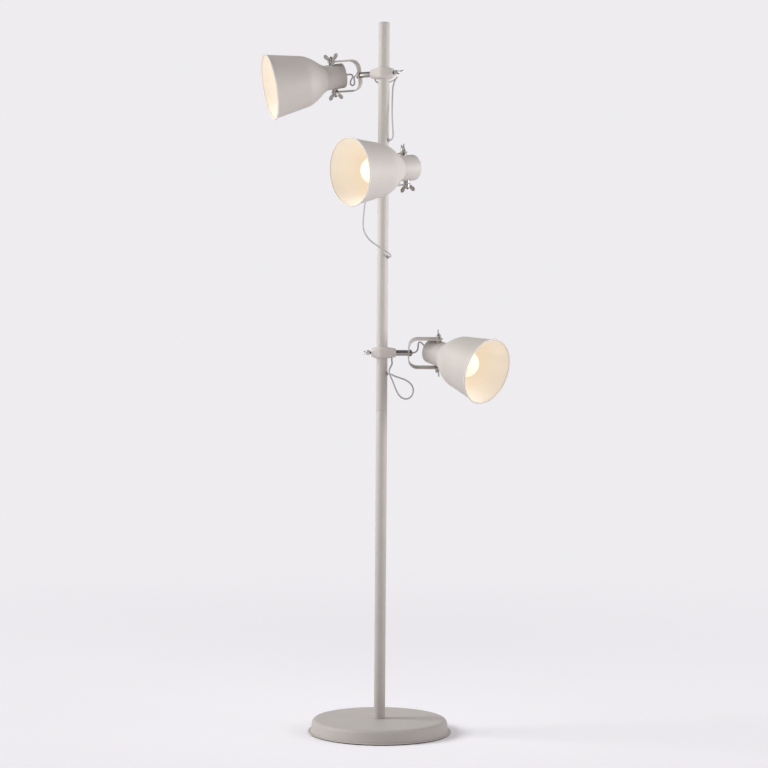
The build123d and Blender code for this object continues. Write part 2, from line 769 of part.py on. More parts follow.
# ---- one head: cup, shade, holder and bulb ----
def make_cup(name, head):
    with BuildPart() as cup:
        with BuildSketch(shade_plane(head)):
            with BuildLine():
                outside = FilletPolyline(
                    (neck_distance, cup_radius), (-cup_back, cup_radius), (-cup_back, bush_neck + seat_fit),
                    radius=cup_edge,
                )
                inside = FilletPolyline(
                    (neck_distance, cup_inner), (-cup_back + cup_wall, cup_inner),
                    (-cup_back + cup_wall, bush_neck + seat_fit), radius=cup_edge - cup_wall,
                )
                Line(outside @ 0, inside @ 0)
                Line(outside @ 1, inside @ 1)
            make_face()
        revolve(axis=shade_axis(head))
        with BuildSketch(Plane(pivot_point(head), z_dir=hinge_direction(head))):
            Circle(screw_radius + seat_fit)
        extrude(amount=cup_radius, both=True, mode=Mode.SUBTRACT)
    save(cup, f"{name}_cup")


def bell_curve(inset):
    """From the end of the straight flank round the shoulder to the neck, an inset inside the outer skin."""
    points = [(flank_end, flank_radius)] + bell_shoulder + [(neck_distance + neck_collar, neck_radius)]
    slope = (mouth_radius - rim_bead - flank_radius) / (mouth_distance - flank_end)
    return Spline([(x, r - inset) for x, r in points], tangents=[(-1, -slope), (-1, 0)])


def make_shade(name, head):
    skin = mouth_radius - rim_bead
    with BuildPart() as shade:
        with BuildSketch(shade_plane(head)):
            with BuildLine():
                outer_flank = Line((mouth_distance, skin), (flank_end, flank_radius))
                outer_bell = bell_curve(0)
                inner_bell = bell_curve(shade_wall)
                inner_flank = Line(
                    (flank_end, flank_radius - shade_wall), (mouth_distance, skin - shade_wall))
                Line(inner_flank @ 1, outer_flank @ 0)
                Polyline(
                    outer_bell @ 1, (neck_distance, neck_radius), (neck_distance, neck_hole),
                    (neck_distance + shade_wall, neck_hole),
                    (neck_distance + shade_wall, neck_radius - shade_wall), inner_bell @ 1,
                )
            make_face()
            with Locations((mouth_distance - rim_bead, mouth_radius - rim_bead)):
                Circle(rim_bead)
        revolve(axis=shade_axis(head))
    save(shade, f"{name}_shade")


def make_holder(name, head):
    """The lamp holder, and the ring that clamps the shade's neck against its shoulder."""
    shoulder = neck_distance - holder_shoulder_height
    sleeve = neck_hole - holder_fit
    ring_bore = sleeve + holder_fit / 2
    with BuildPart() as holder:
        with BuildSketch(shade_plane(head)):
            with BuildLine():
                Polyline(
                    (holder_back, 0), (holder_back, holder_radius), (shoulder, holder_radius),
                    (shoulder, holder_shoulder), (neck_distance, holder_shoulder), (neck_distance, sleeve),
                    (holder_front, sleeve), (holder_front, holder_bore), (holder_floor, holder_bore),
                    (holder_floor, 0), close=True,
                )
            make_face()
            with Locations((neck_distance + shade_wall, ring_bore)):
                Rectangle(ring_height, ring_radius - ring_bore, align=Align.MIN)
        revolve(axis=shade_axis(head))
    save(holder, f"{name}_lamp_holder")


def make_bulb(name, head):
    """A glass globe on a screw cap; both are hollow."""
    cap_front = holder_front + cap_show
    neck = bulb_cap + bulb_collar
    meet = bulb_centre - bulb_radius * cos(radians(bulb_neck_angle))
    meet_radius = bulb_radius * sin(radians(bulb_neck_angle))
    with BuildPart() as bulb:
        with BuildSketch(shade_plane(head)):
            with BuildLine():
                Line((bulb_centre + bulb_radius, 0), (bulb_centre + bulb_radius - glass, 0))
                outer = ThreePointArc(
                    (bulb_centre + bulb_radius, 0), (bulb_centre, bulb_radius), (meet, meet_radius))
                outer_neck = Spline((meet, meet_radius), (cap_front, neck), tangents=[outer % 1, (-1, 0)])
                Line(outer_neck @ 1, (cap_front, neck - glass))
                inner = ThreePointArc(
                    (bulb_centre + bulb_radius - glass, 0), (bulb_centre, bulb_radius - glass),
                    (meet + glass / 2, meet_radius - glass))
                Spline(inner @ 1, (cap_front, neck - glass), tangents=[inner % 1, (-1, 0)])
            make_face()
        revolve(axis=shade_axis(head))
        with BuildSketch(shade_plane(head)):
            with BuildLine():
                Polyline(
                    (cap_contact, 0), (cap_contact, cap_tip), (cap_shell, bulb_cap), (cap_front, bulb_cap),
                    (cap_front, bulb_cap - cap_sheet), (cap_shell + cap_sheet, bulb_cap - cap_sheet),
                    (cap_contact + cap_sheet, cap_tip - cap_sheet), (cap_contact + cap_sheet, 0), close=True,
                )
            make_face()
        revolve(axis=shade_axis(head))
    save(bulb, f"{name}_bulb")


def make_cord_bush(name, head):
    outside = -cup_back - face_fit
    inside = -cup_back + cup_wall + face_fit
    with BuildPart() as bush:
        with BuildSketch(shade_plane(head)):
            with BuildLine():
                Polyline(
                    (-cup_back - bush_length, bush_bore), (-cup_back - bush_length, bush_bore + bush_tip),
                    (outside, bush_flange), (outside, bush_neck), (inside, bush_neck), (inside, bush_flange),
                    (inside + bush_lip, bush_flange), (inside + bush_lip, bush_bore), close=True,
                )
            make_face()
        revolve(axis=shade_axis(head))
    save(bush, f"{name}_cord_bush")


make_base_cover()
make_base_pad()
make_base_weight()
make_pole_foot()
make_foot_nut()
make_pole()
make_pole_joint()
make_pole_cap()
make_grommets()
make_terminal_block()
make_inner_leads(make_cable_gland())
for place, settings in heads.items():
    make_clamp(place, settings)
    make_clamp_screw(place, settings)
    make_stem(place, settings)
    make_stem_nut(place, settings)
    make_bracket(place, settings)
    make_pivot_studs(place, settings)
    make_wing_nuts(place, settings)
    make_cup(place, settings)
    make_shade(place, settings)
    make_holder(place, settings)
    make_bulb(place, settings)
    make_cord_bush(place, settings)
    make_lead(f"{place}_pole_lead", pole_routes[place], clamp_heights[place])
    make_lead(f"{place}_clamp_lead", clamp_routes[place], clamp_heights[place])
    make_lead(f"{place}_head_lead", head_routes[place], clamp_heights[place])
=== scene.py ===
import json
from math import cos, pi, radians, sin

import bpy
from mathutils import Matrix, Vector


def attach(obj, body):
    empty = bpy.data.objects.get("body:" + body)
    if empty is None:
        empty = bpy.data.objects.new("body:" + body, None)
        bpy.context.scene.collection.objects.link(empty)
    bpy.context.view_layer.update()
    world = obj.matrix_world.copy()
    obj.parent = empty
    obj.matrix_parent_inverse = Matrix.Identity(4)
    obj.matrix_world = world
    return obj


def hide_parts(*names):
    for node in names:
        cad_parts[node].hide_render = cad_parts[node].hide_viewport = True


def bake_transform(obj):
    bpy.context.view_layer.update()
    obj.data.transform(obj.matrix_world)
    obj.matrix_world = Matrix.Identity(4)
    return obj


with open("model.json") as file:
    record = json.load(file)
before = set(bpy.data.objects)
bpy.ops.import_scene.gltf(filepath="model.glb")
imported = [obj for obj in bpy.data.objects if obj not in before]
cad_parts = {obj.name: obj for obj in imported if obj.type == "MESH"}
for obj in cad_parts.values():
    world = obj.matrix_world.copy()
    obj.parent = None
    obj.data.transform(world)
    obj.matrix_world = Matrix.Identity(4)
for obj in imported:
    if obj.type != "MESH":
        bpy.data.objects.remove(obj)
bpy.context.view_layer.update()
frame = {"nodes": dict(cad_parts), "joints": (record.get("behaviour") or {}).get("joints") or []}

# Tree floor lamp: a weighted round base, one pole and three clamped shades.
# Metres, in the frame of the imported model: origin on the floor at the pole's axis, +Z up.
mm = 0.001
tiny = 0.001 * mm
head_names = ("top", "middle", "lower")

# ---- pole and base ----
lamp_height = 1591 * mm
pole_radius = 12.5 * mm
pole_bore = 11 * mm
cap_dome = 3 * mm
cap_plug = 14 * mm
cap_wall = 2 * mm
cap_edge = 0.9 * mm             # height of its upright edge
cap_crown = 8.5 * mm            # radius of its flat middle
foot_band = 9 * mm
foot_spigot = 30 * mm
pole_seam = 719.5 * mm
base_radius = 160 * mm
base_height = 31 * mm
cover_sheet = 1.2 * mm
flange_width = 6 * mm
wall_taper = 3.7 * mm
cover_shoulder = 10 * mm
pad_thickness = 2 * mm
pad_inset = 2 * mm
stud_radius = 8 * mm
stud_bore = 4 * mm
stud_pitch = 1.5 * mm
stud_low_end = 10 * mm
gland_height = 14 * mm
gland_bore = 3 * mm
gland_radius = 5 * mm
gland_flange = 8 * mm
gland_face = 7 * mm
gland_taper = 0.6 * mm
gland_lip = 3 * mm
gland_grip = 5 * mm
gland_step = 1 * mm
lead_holes = {"top": 1325.5 * mm, "middle": 1064 * mm, "lower": 803 * mm}
lead_hole_angle = radians(-28)
seam_gap = 0.3 * mm
tube_rounding = 0.35 * mm
grommet_bore = 2 * mm
grommet_neck = 3.4 * mm
grommet_barb = 4.3 * mm
grommet_steps = (9.5 * mm, 10.6 * mm, 12 * mm)  # its back, the end of the barb and the flange's seat
grommet_flange = 4.5 * mm
grommet_lip = 1.6 * mm

# ---- clamp, stem and bracket ----
collar_radius = 18.5 * mm
collar_height = 25 * mm
barrel_front = 31 * mm
barrel_back = 24 * mm
barrel_end_radius = 9.8 * mm    # the casting tapers from the collar to this
collar_rounding = 5 * mm
clamp_voxel = 0.7 * mm
clamp_softening = 10            # passes that soften the casting's edges
stem_radius = 6.5 * mm
stem_seat = 14 * mm
stem_bore = 3 * mm
lead_exit = 22 * mm
lead_exit_radius = 2.6 * mm
bracket_back = 59 * mm
bracket_strip = 2 * mm
bracket_width = 19 * mm
bracket_gap = 66.5 * mm
bracket_corner = 21 * mm
nipple_radius = 5 * mm
nipple_bore = 2.3 * mm
nipple_end = 1.5 * mm
stem_nut_radius = 7.25 * mm
stem_nut_height = 5.5 * mm
pivot_distance = 126 * mm

# ---- screws ----
screw_radius = 3 * mm
screw_pitch = 1 * mm
screw_neck = 3.5 * mm
hub_radius = 6 * mm
hub_height = 8 * mm
wing_thickness = 2 * mm
leaf_middle = (11.3 * mm, 10.9 * mm)
leaf_width = 6.4 * mm
leaf_height = 9 * mm
leaf_angle = 52
root_middle = (7.6 * mm, 6.6 * mm)  # of the web between the hub and a leaf
root_length = 12 * mm
root_width = 7.6 * mm
root_angle = 40
wing_voxel = 0.36 * mm
wing_softening = 7
stud_shoulder = 7 * mm
stud_head = 5.5 * mm
stud_head_height = 3.3 * mm
slot_width = 1.2 * mm
slot_depth = 1.3 * mm

# ---- shade, cup, holder and bulb; distances are from the hinge along the shade's axis ----
mouth_distance = 150.5 * mm
mouth_radius = 74.5 * mm
rim_bead = 1.75 * mm
shade_wall = 1 * mm
flank_end = 84 * mm
flank_radius = 60.3 * mm
bell_shoulder = [(66.0, 56.8), (52.0, 50.6), (41.0, 43.4), (31.0, 35.4), (24.0, 30.6)]
neck_distance = 17.5 * mm
neck_radius = 28.3 * mm
neck_hole = 20 * mm
cup_radius = 28 * mm
cup_wall = 1.2 * mm
cup_back = 26 * mm
cup_edge = 5 * mm
holder_radius = 19 * mm
holder_back = -15 * mm
holder_front = 34 * mm
holder_bore = 13.7 * mm
holder_floor = 4 * mm
holder_shoulder = 23.5 * mm
holder_shoulder_height = 3 * mm
ring_radius = 25.5 * mm
ring_height = 5 * mm
bulb_radius = 30 * mm
bulb_centre = 84 * mm
bulb_cap = 13.2 * mm
bulb_cap_pitch = 3.6 * mm
bush_flange = 6 * mm
bush_length = 6 * mm
bush_bore = 2 * mm
bush_neck = 4 * mm

# ---- clearances ----
seat_fit = 0.1 * mm
face_fit = 0.05 * mm
slide_fit = 0.08 * mm
lay = 0.3 * mm

# ---- how the heads stand at rest: tilt of the shade, and how its three wings are turned ----
tilts = {"top": 39.5, "middle": -75.8, "lower": -47.5}
wing_turns = {"top": (25, 38, 34), "middle": (20, -12, 50), "lower": (10, -86, -80)}

# ---- leads: the routes of the CAD source, in millimetres from the centre of each head's clamp ----
lead_diameter = 3.6 * mm
# from the hole in the pole to the run where the clamp's half of the lead starts
pole_routes = {
    "top": [
        (10.15, -5.4, -150.5), (17.22, -9.16, -150.5), (21.8, -11.8, -144.1), (21.4, -13.4, -131.5),
        (19.6, -13.2, -108.5), (18.8, -10.8, -84.5), (19.25, -7.0, -63.9),
    ],
    "middle": [
        (10.15, -5.4, -186.5), (17.22, -9.16, -186.5), (19.0, -16.4, -182.9), (12.2, -22.8, -177.3),
        (-1.0, -24.6, -169.9), (-14.5, -27.0, -160.9), (-28.5, -31.0, -151.5), (-38.6, -35.0, -138.9),
        (-44.6, -39.0, -122.9), (-43.5, -41.9, -106.7),
    ],
    "lower": [
        (10.15, -5.4, -47.0), (18.98, -10.1, -47.0), (28.4, -12.6, -52.4), (39.8, -13.4, -56.0),
        (51.6, -14.0, -60.0), (62.4, -14.6, -66.4), (69.8, -16.0, -76.4), (70.6, -17.6, -88.4),
        (65.6, -19.0, -98.4), (57.0, -20.0, -103.8), (50.8, -20.6, -102.6),
    ],
}
# from that run to the hole under the clamp's barrel
clamp_routes = {
    "top": [
        (19.25, -7.0, -63.9), (19.7, -3.2, -43.3), (21.0, 3.4, -26.9), (24.8, 10.4, -14.3),
        (29.4, 16.4, -6.1), (30.4, 24.4, -3.9), (25.6, 30.2, -8.3), (16.0, 30.4, -13.3),
        (4.4, 26.8, -16.3), (-7.4, 21.4, -17.9), (-16.4, 14.4, -17.7), (-20.02, 9.12, -13.9),
        (-20.02, 9.12, -8.9),
    ],
    "middle": [
        (-43.5, -41.9, -106.7), (-42.4, -44.8, -90.5), (-40.4, -44.4, -72.5), (-36.6, -41.0, -54.5),
        (-28.0, -35.6, -39.5), (-16.2, -29.6, -29.5), (-4.4, -24.6, -24.9), (4.6, -21.2, -20.7),
        (8.35, -20.35, -14.5), (8.35, -20.35, -8.9),
    ],
    "lower": [
        (50.8, -20.6, -102.6), (44.6, -21.2, -101.4), (36.4, -21.8, -92.4), (30.4, -22.2, -80.0),
        (25.6, -22.2, -67.0), (20.4, -21.6, -55.4), (15.8, -19.8, -46.0), (16.2, -15.4, -37.4),
        (20.4, -8.6, -30.6), (23.2, -2.2, -23.6), (21.98, 0.96, -15.4), (21.98, 0.96, -9.0),
    ],
}
# from the bore of the stem to the bush in the back of the cup
head_routes = {
    "top": [
        (-58.69, 26.75, 0.0), (-64.6, 29.44, 0.0), (-68.2, 31.2, -4.7), (-66.6, 32.6, -11.7),
        (-66.2, 36.0, -18.3), (-70.8, 40.2, -21.7), (-76.0, 43.8, -17.7), (-75.6, 47.2, -9.7),
        (-71.8, 51.6, -2.5), (-70.4, 57.0, 3.9), (-74.8, 61.2, 8.1), (-81.0, 60.4, 7.2),
        (-89.16, 58.5, 5.2),
    ],
    "middle": [
        (24.29, -59.21, 0.0), (28.08, -68.46, 0.0), (34.6, -73.9, -4.5), (45.2, -73.8, -8.5),
        (57.0, -72.4, -7.5), (68.8, -75.2, -2.9), (78.0, -82.0, 2.1), (80.13, -92.56, 5.21),
        (69.3, -100.6, 3.46),
    ],
    "lower": [
        (63.94, 2.79, 0.0), (74.0, 3.23, 0.0), (80.4, 5.6, 7.4), (81.2, 11.4, 17.4),
        (82.0, 20.2, 25.2), (87.6, 29.2, 25.0), (94.4, 33.4, 18.4), (99.1, 30.32, 10.49),
        (106.85, 23.14, 7.46),
    ],
}

# ---- colours and light ----
coat_colour = (0.560, 0.521, 0.485)
coat_shade = (0.500, 0.464, 0.431)
clamp_tone = 1.08               # the clamps are a little lighter than the tubes
rim_glare_tone = 1.3                  # and the rolled rims lighter still: painted glare, where the lit mouth washes the rim out
# the foot ring is darker: painted shade where the pole meets the base
foot_shade_tone = 0.94
enamel_colour = (0.87, 0.83, 0.755)
nickel_colour = (0.42, 0.395, 0.37)
wings_reflection_colour = (0.74, 0.71, 0.68)   # a lighter copy of the nickel for the wing screws: painted reflection
lead_colour = (0.50, 0.49, 0.495)
bush_colour = (0.40, 0.385, 0.37)
holder_colour = (0.82, 0.80, 0.76)
iron_colour = (0.045, 0.045, 0.048)
rubber_colour = (0.018, 0.018, 0.019)
glass_colour = (0.62, 0.61, 0.58)
glass_shade = (0.56, 0.55, 0.52)
lining_colour = (0.85, 0.82, 0.76)
light_colour = (1.0, 0.76, 0.50)
pale_light_colour = (1.0, 0.84, 0.64)
bulb_glow = 0.5
painted_inner_glow = 0.14               # painted glow of the enamel, for the bulb's light on it
background = (0.855, 0.839, 0.864)
floor_colour = (0.865, 0.849, 0.874)
floor_gain = 1.23               # of the floor's colour, only where the camera sees it
floor_fade = (1.3, 4.0)         # where the floor starts to melt into the background, and where it has
room_level = 0.54
# axis of the direction, where the change starts and is full, and how much it is
room_lobes = [
    ("X", 0.3, 0.95, 0.55), ("X", -0.3, -0.95, -0.08), ("Y", 0.2, 0.9, 0.2), ("Y", -0.3, -0.9, -0.09),
    ("Z", 0.4, 0.95, -0.14),
]
# the same for what metal and gloss reflect
mirror_level = 1.0
mirror_lobes = [("Y", -0.6, -0.95, -0.8), ("Z", 0.25, 0.75, -0.7)]
sun_strength = 1.75
sun_spread = 26
sun_from = (-1.0, 0.0, 0.66)
box_size = 0.9
box_height = 1.2
box_distance = (1.7, -0.5)
box_powers = {"left": (-1, 2.9), "right": (1, 3.9)}
box_spread = 75

# ---- camera, fitted to the photograph ----
camera_place = (5 * mm, -4127 * mm, 780 * mm)
camera_lens = 86.3
camera_roll = radians(-0.402)


# ---- shader node groups ----
def new_group(name, inputs, outputs):
    group = bpy.data.node_groups.new(name, "ShaderNodeTree")
    for label, kind, value in inputs:
        socket = group.interface.new_socket(name=label, in_out="INPUT", socket_type=kind)
        if value is not None:
            socket.default_value = value
    for label, kind in outputs:
        group.interface.new_socket(name=label, in_out="OUTPUT", socket_type=kind)
    return group, group.nodes.new("NodeGroupInput"), group.nodes.new("NodeGroupOutput")


def mottle_group():
    """A colour that wanders between two, and a roughness that goes with it."""
    group, given, out = new_group(
        "mottle",
        [
            ("Colour A", "NodeSocketColor", None), ("Colour B", "NodeSocketColor", None),
            ("Scale", "NodeSocketFloat", 30.0), ("Roughness", "NodeSocketFloat", 0.5),
            ("Roughness Spread", "NodeSocketFloat", 0.05),
        ],
        [("Colour", "NodeSocketColor"), ("Roughness", "NodeSocketFloat")],
    )
    nodes, links = group.nodes, group.links
    place = nodes.new("ShaderNodeTexCoord")
    noise = nodes.new("ShaderNodeTexNoise")
    noise.inputs["Detail"].default_value = 4
    links.new(place.outputs["Object"], noise.inputs["Vector"])
    links.new(given.outputs["Scale"], noise.inputs["Scale"])
    mix = nodes.new("ShaderNodeMix")
    mix.data_type = "RGBA"
    links.new(noise.outputs["Fac"], mix.inputs["Factor"])
    links.new(given.outputs["Colour A"], mix.inputs["A"])
    links.new(given.outputs["Colour B"], mix.inputs["B"])
    links.new(mix.outputs["Result"], out.inputs["Colour"])
    spread = nodes.new("ShaderNodeMath")
    spread.operation = "MULTIPLY_ADD"
    links.new(noise.outputs["Fac"], spread.inputs[0])
    links.new(given.outputs["Roughness Spread"], spread.inputs[1])
    links.new(given.outputs["Roughness"], spread.inputs[2])
    links.new(spread.outputs[0], out.inputs["Roughness"])
    return group


def grain_group():
    """Two sizes of small bumps, as on sprayed powder or moulded plastic, as a height."""
    group, given, out = new_group(
        "grain",
        [
            ("Coarse", "NodeSocketFloat", 900.0), ("Fine", "NodeSocketFloat", 3200.0),
            ("Share", "NodeSocketFloat", 0.4),
        ],
        [("Height", "NodeSocketFloat")],
    )
    nodes, links = group.nodes, group.links
    place = nodes.new("ShaderNodeTexCoord")
    coarse = nodes.new("ShaderNodeTexNoise")
    fine = nodes.new("ShaderNodeTexNoise")
    for noise, label in ((coarse, "Coarse"), (fine, "Fine")):
        noise.inputs["Detail"].default_value = 2
        links.new(place.outputs["Object"], noise.inputs["Vector"])
        links.new(given.outputs[label], noise.inputs["Scale"])
    mix = nodes.new("ShaderNodeMix")
    links.new(given.outputs["Share"], mix.inputs["Factor"])
    links.new(coarse.outputs["Fac"], mix.inputs["A"])
    links.new(fine.outputs["Fac"], mix.inputs["B"])
    links.new(mix.outputs["Result"], out.inputs["Height"])
    return group


def dust_group():
    """Dust that settles in patches of a noise, as a mask."""
    group, given, out = new_group(
        "dust",
        [("Scale", "NodeSocketFloat", 12.0), ("Amount", "NodeSocketFloat", 0.5)],
        [("Mask", "NodeSocketFloat")],
    )
    nodes, links = group.nodes, group.links
    place = nodes.new("ShaderNodeTexCoord")
    noise = nodes.new("ShaderNodeTexNoise")
    noise.inputs["Detail"].default_value = 8
    noise.inputs["Roughness"].default_value = 0.65
    links.new(place.outputs["Object"], noise.inputs["Vector"])
    links.new(given.outputs["Scale"], noise.inputs["Scale"])
    ramp = nodes.new("ShaderNodeMapRange")
    ramp.inputs["From Min"].default_value = 0.45
    ramp.inputs["From Max"].default_value = 0.75
    links.new(noise.outputs["Fac"], ramp.inputs["Value"])
    scale = nodes.new("ShaderNodeMath")
    scale.operation = "MULTIPLY"
    links.new(ramp.outputs["Result"], scale.inputs[0])
    links.new(given.outputs["Amount"], scale.inputs[1])
    links.new(scale.outputs[0], out.inputs["Mask"])
    return group


mottle = mottle_group()
grain = grain_group()
dust = dust_group()


def opaque(colour):
    return (*colour, 1.0)


def new_material(name):
    material = bpy.data.materials.new(name)
    material.use_nodes = True
    tree = material.node_tree
    return material, tree.nodes, tree.links, tree.nodes["Principled BSDF"]


def set_inputs(node, values):
    for label, value in values.items():
        node.inputs[label].default_value = value


def add_group(nodes, tree, values):
    group = nodes.new("ShaderNodeGroup")
    group.node_tree = tree
    set_inputs(group, values)
    return group


def use_mottle(nodes, links, bsdf, colour, second_colour, scale, roughness, spread):
    group = add_group(nodes, mottle, {
        "Colour A": opaque(colour), "Colour B": opaque(second_colour), "Scale": scale,
        "Roughness": roughness, "Roughness Spread": spread,
    })
    links.new(group.outputs["Colour"], bsdf.inputs["Base Color"])
    links.new(group.outputs["Roughness"], bsdf.inputs["Roughness"])
    return group


def use_grain(nodes, links, bsdf, coarse, fine, share, depth, strength):
    group = add_group(nodes, grain, {"Coarse": coarse, "Fine": fine, "Share": share})
    bump = nodes.new("ShaderNodeBump")
    set_inputs(bump, {"Distance": depth, "Strength": strength})
    links.new(group.outputs["Height"], bump.inputs["Height"])
    links.new(bump.outputs["Normal"], bsdf.inputs["Normal"])


def toned(colour, share):
    return tuple(channel * share for channel in colour)


def powder_coat(name, colour, shade):
    """Fine satin powder over metal: soft mottling, orange peel and a trace of dust."""
    material, nodes, links, bsdf = new_material(name)
    tone = use_mottle(nodes, links, bsdf, colour, shade, scale=14, roughness=0.46, spread=0.1)
    use_grain(nodes, links, bsdf, coarse=850, fine=2600, share=0.35, depth=0.12 * mm, strength=0.45)
    mask = add_group(nodes, dust, {"Scale": 26, "Amount": 0.16})
    mix = nodes.new("ShaderNodeMix")
    mix.data_type = "RGBA"
    mix.inputs["B"].default_value = opaque(toned(colour, 1.12))
    links.new(mask.outputs["Mask"], mix.inputs["Factor"])
    links.new(tone.outputs["Colour"], mix.inputs["A"])
    links.new(mix.outputs["Result"], bsdf.inputs["Base Color"])
    bsdf.inputs["Specular IOR Level"].default_value = 0.42
    return material


def enamel():
    """The white inside of a shade, with a painted glow that stands in for the bulb's light on it."""
    material, nodes, links, bsdf = new_material("inner_enamel")
    use_mottle(
        nodes, links, bsdf, enamel_colour, toned(enamel_colour, 0.95), scale=20, roughness=0.38, spread=0.08)
    use_grain(nodes, links, bsdf, coarse=700, fine=2400, share=0.3, depth=0.12 * mm, strength=0.4)
    # painted glow: the enamel shines by itself, for the bulb's light on it
    set_inputs(bsdf, {"Emission Color": opaque(light_colour), "Emission Strength": painted_inner_glow})
    return material


def nickel(name, roughness, colour=nickel_colour):
    """Plated metal with fine polishing variation."""
    material, nodes, links, bsdf = new_material(name)
    use_mottle(
        nodes, links, bsdf, colour, toned(colour, 0.82), scale=160, roughness=roughness, spread=0.14)
    use_grain(nodes, links, bsdf, coarse=1200, fine=5200, share=0.5, depth=0.05 * mm, strength=0.35)
    bsdf.inputs["Metallic"].default_value = 1.0
    return material


def plastic(name, colour, roughness, coarse=900):
    material, nodes, links, bsdf = new_material(name)
    use_mottle(
        nodes, links, bsdf, colour, toned(colour, 0.86), scale=60, roughness=roughness, spread=0.12)
    use_grain(nodes, links, bsdf, coarse=coarse, fine=4200, share=0.4, depth=0.1 * mm, strength=0.4)
    bsdf.inputs["Specular IOR Level"].default_value = 0.4
    return material


def cast_iron():
    material, nodes, links, bsdf = new_material("cast_iron")
    use_mottle(
        nodes, links, bsdf, iron_colour, toned(iron_colour, 0.5), scale=90, roughness=0.6, spread=0.25)
    use_grain(nodes, links, bsdf, coarse=400, fine=1500, share=0.5, depth=0.6 * mm, strength=0.8)
    bsdf.inputs["Metallic"].default_value = 0.6
    return material


def lit_glass():
    """The opal globe, lit from within, a little unevenly."""
    material, nodes, links, bsdf = new_material("lit_glass")
    use_mottle(nodes, links, bsdf, glass_colour, glass_shade, scale=40, roughness=0.16, spread=0.06)
    glow = nodes.new("ShaderNodeTexNoise")
    place = nodes.new("ShaderNodeTexCoord")
    glow.inputs["Scale"].default_value = 25
    links.new(place.outputs["Object"], glow.inputs["Vector"])
    mix = nodes.new("ShaderNodeMix")
    mix.data_type = "RGBA"
    set_inputs(mix, {"A": opaque(light_colour), "B": opaque(pale_light_colour)})
    links.new(glow.outputs["Fac"], mix.inputs["Factor"])
    links.new(mix.outputs["Result"], bsdf.inputs["Emission Color"])
    bsdf.inputs["Emission Strength"].default_value = bulb_glow
    return material


coat = powder_coat("powder_coat", coat_colour, coat_shade)
# a darker copy of the coat for the pole's foot: painted shade
shaded_foot_coat = powder_coat("shaded_foot_coat", toned(coat_colour, foot_shade_tone), toned(coat_shade, foot_shade_tone))
clamp_coat = powder_coat("clamp_coat", toned(coat_colour, clamp_tone), toned(coat_shade, clamp_tone))
# a lighter copy of the coat for the shades' rims: painted glare
rim_glare_coat = powder_coat("rim_glare_coat", toned(coat_colour, rim_glare_tone), toned(coat_shade, rim_glare_tone))
inner_coat = enamel()
plated = nickel("nickel", 0.16)
plated_thread = nickel("nickel_thread", 0.3)
plated_wings_reflection = nickel("nickel_wings_reflection", 0.3, wings_reflection_colour)
sheath = plastic("lead_sheath", lead_colour, 0.42, 1400)
bush_plastic = plastic("bush_plastic", bush_colour, 0.5)
holder_plastic = plastic("holder_plastic", holder_colour, 0.45)
pad_rubber = plastic("pad_rubber", rubber_colour, 0.7, 500)
weight_iron = cast_iron()
glass = lit_glass()
glass_lining = plastic("glass_lining", lining_colour, 0.4)


# ---- mesh helpers ----
def deselect_all():
    if bpy.context.object and bpy.context.object.mode != "OBJECT":
        bpy.ops.object.mode_set(mode="OBJECT")
    bpy.ops.object.select_all(action="DESELECT")


def activate(piece):
    deselect_all()
    piece.select_set(True)
    bpy.context.view_layer.objects.active = piece


def settle(piece, name):
    """Names a new piece and puts its place into its mesh."""
    piece.name = name
    piece.data.name = name
    activate(piece)
    bpy.ops.object.transform_apply(location=True, rotation=True, scale=True)
    return piece


def smooth(piece, angle=35):
    activate(piece)
    bpy.ops.object.shade_smooth_by_angle(angle=radians(angle), keep_sharp_edges=False)
    return piece


def apply_modifier(piece, kind, **settings):
    activate(piece)
    modifier = piece.modifiers.new(kind.lower(), kind)
    for key, value in settings.items():
        setattr(modifier, key, value)
    bpy.ops.object.modifier_apply(modifier=modifier.name)


def cut(piece, tool, operation="DIFFERENCE"):
    """Boolean with a second solid, which is used up."""
    apply_modifier(piece, "BOOLEAN", object=tool, operation=operation, solver="EXACT")
    bpy.data.meshes.remove(tool.data)


def rounded(points, radii, steps=5):
    """An outline whose inner corners become arcs of the given radii."""
    outline = [Vector(points[0])]
    for before, corner, after, radius in zip(points, points[1:], points[2:], radii):
        corner = Vector(corner)
        arriving = (corner - Vector(before)).normalized()
        leaving = (Vector(after) - corner).normalized()
        turn = arriving.angle_signed(leaving)
        if radius <= 0 or abs(turn) < 0.01:
            outline.append(corner)
            continue
        reach = radius * abs(sin(turn / 2) / cos(turn / 2))
        side = Vector((-arriving.y, arriving.x)) * (-1 if turn > 0 else 1)
        middle = corner - arriving * reach + side * radius
        spoke = corner - arriving * reach - middle
        for step in range(steps + 1):
            angle = -turn * step / steps
            outline.append(middle + Vector((
                spoke.x * cos(angle) - spoke.y * sin(angle), spoke.x * sin(angle) + spoke.y * cos(angle))))
    outline.append(Vector(points[-1]))
    return outline


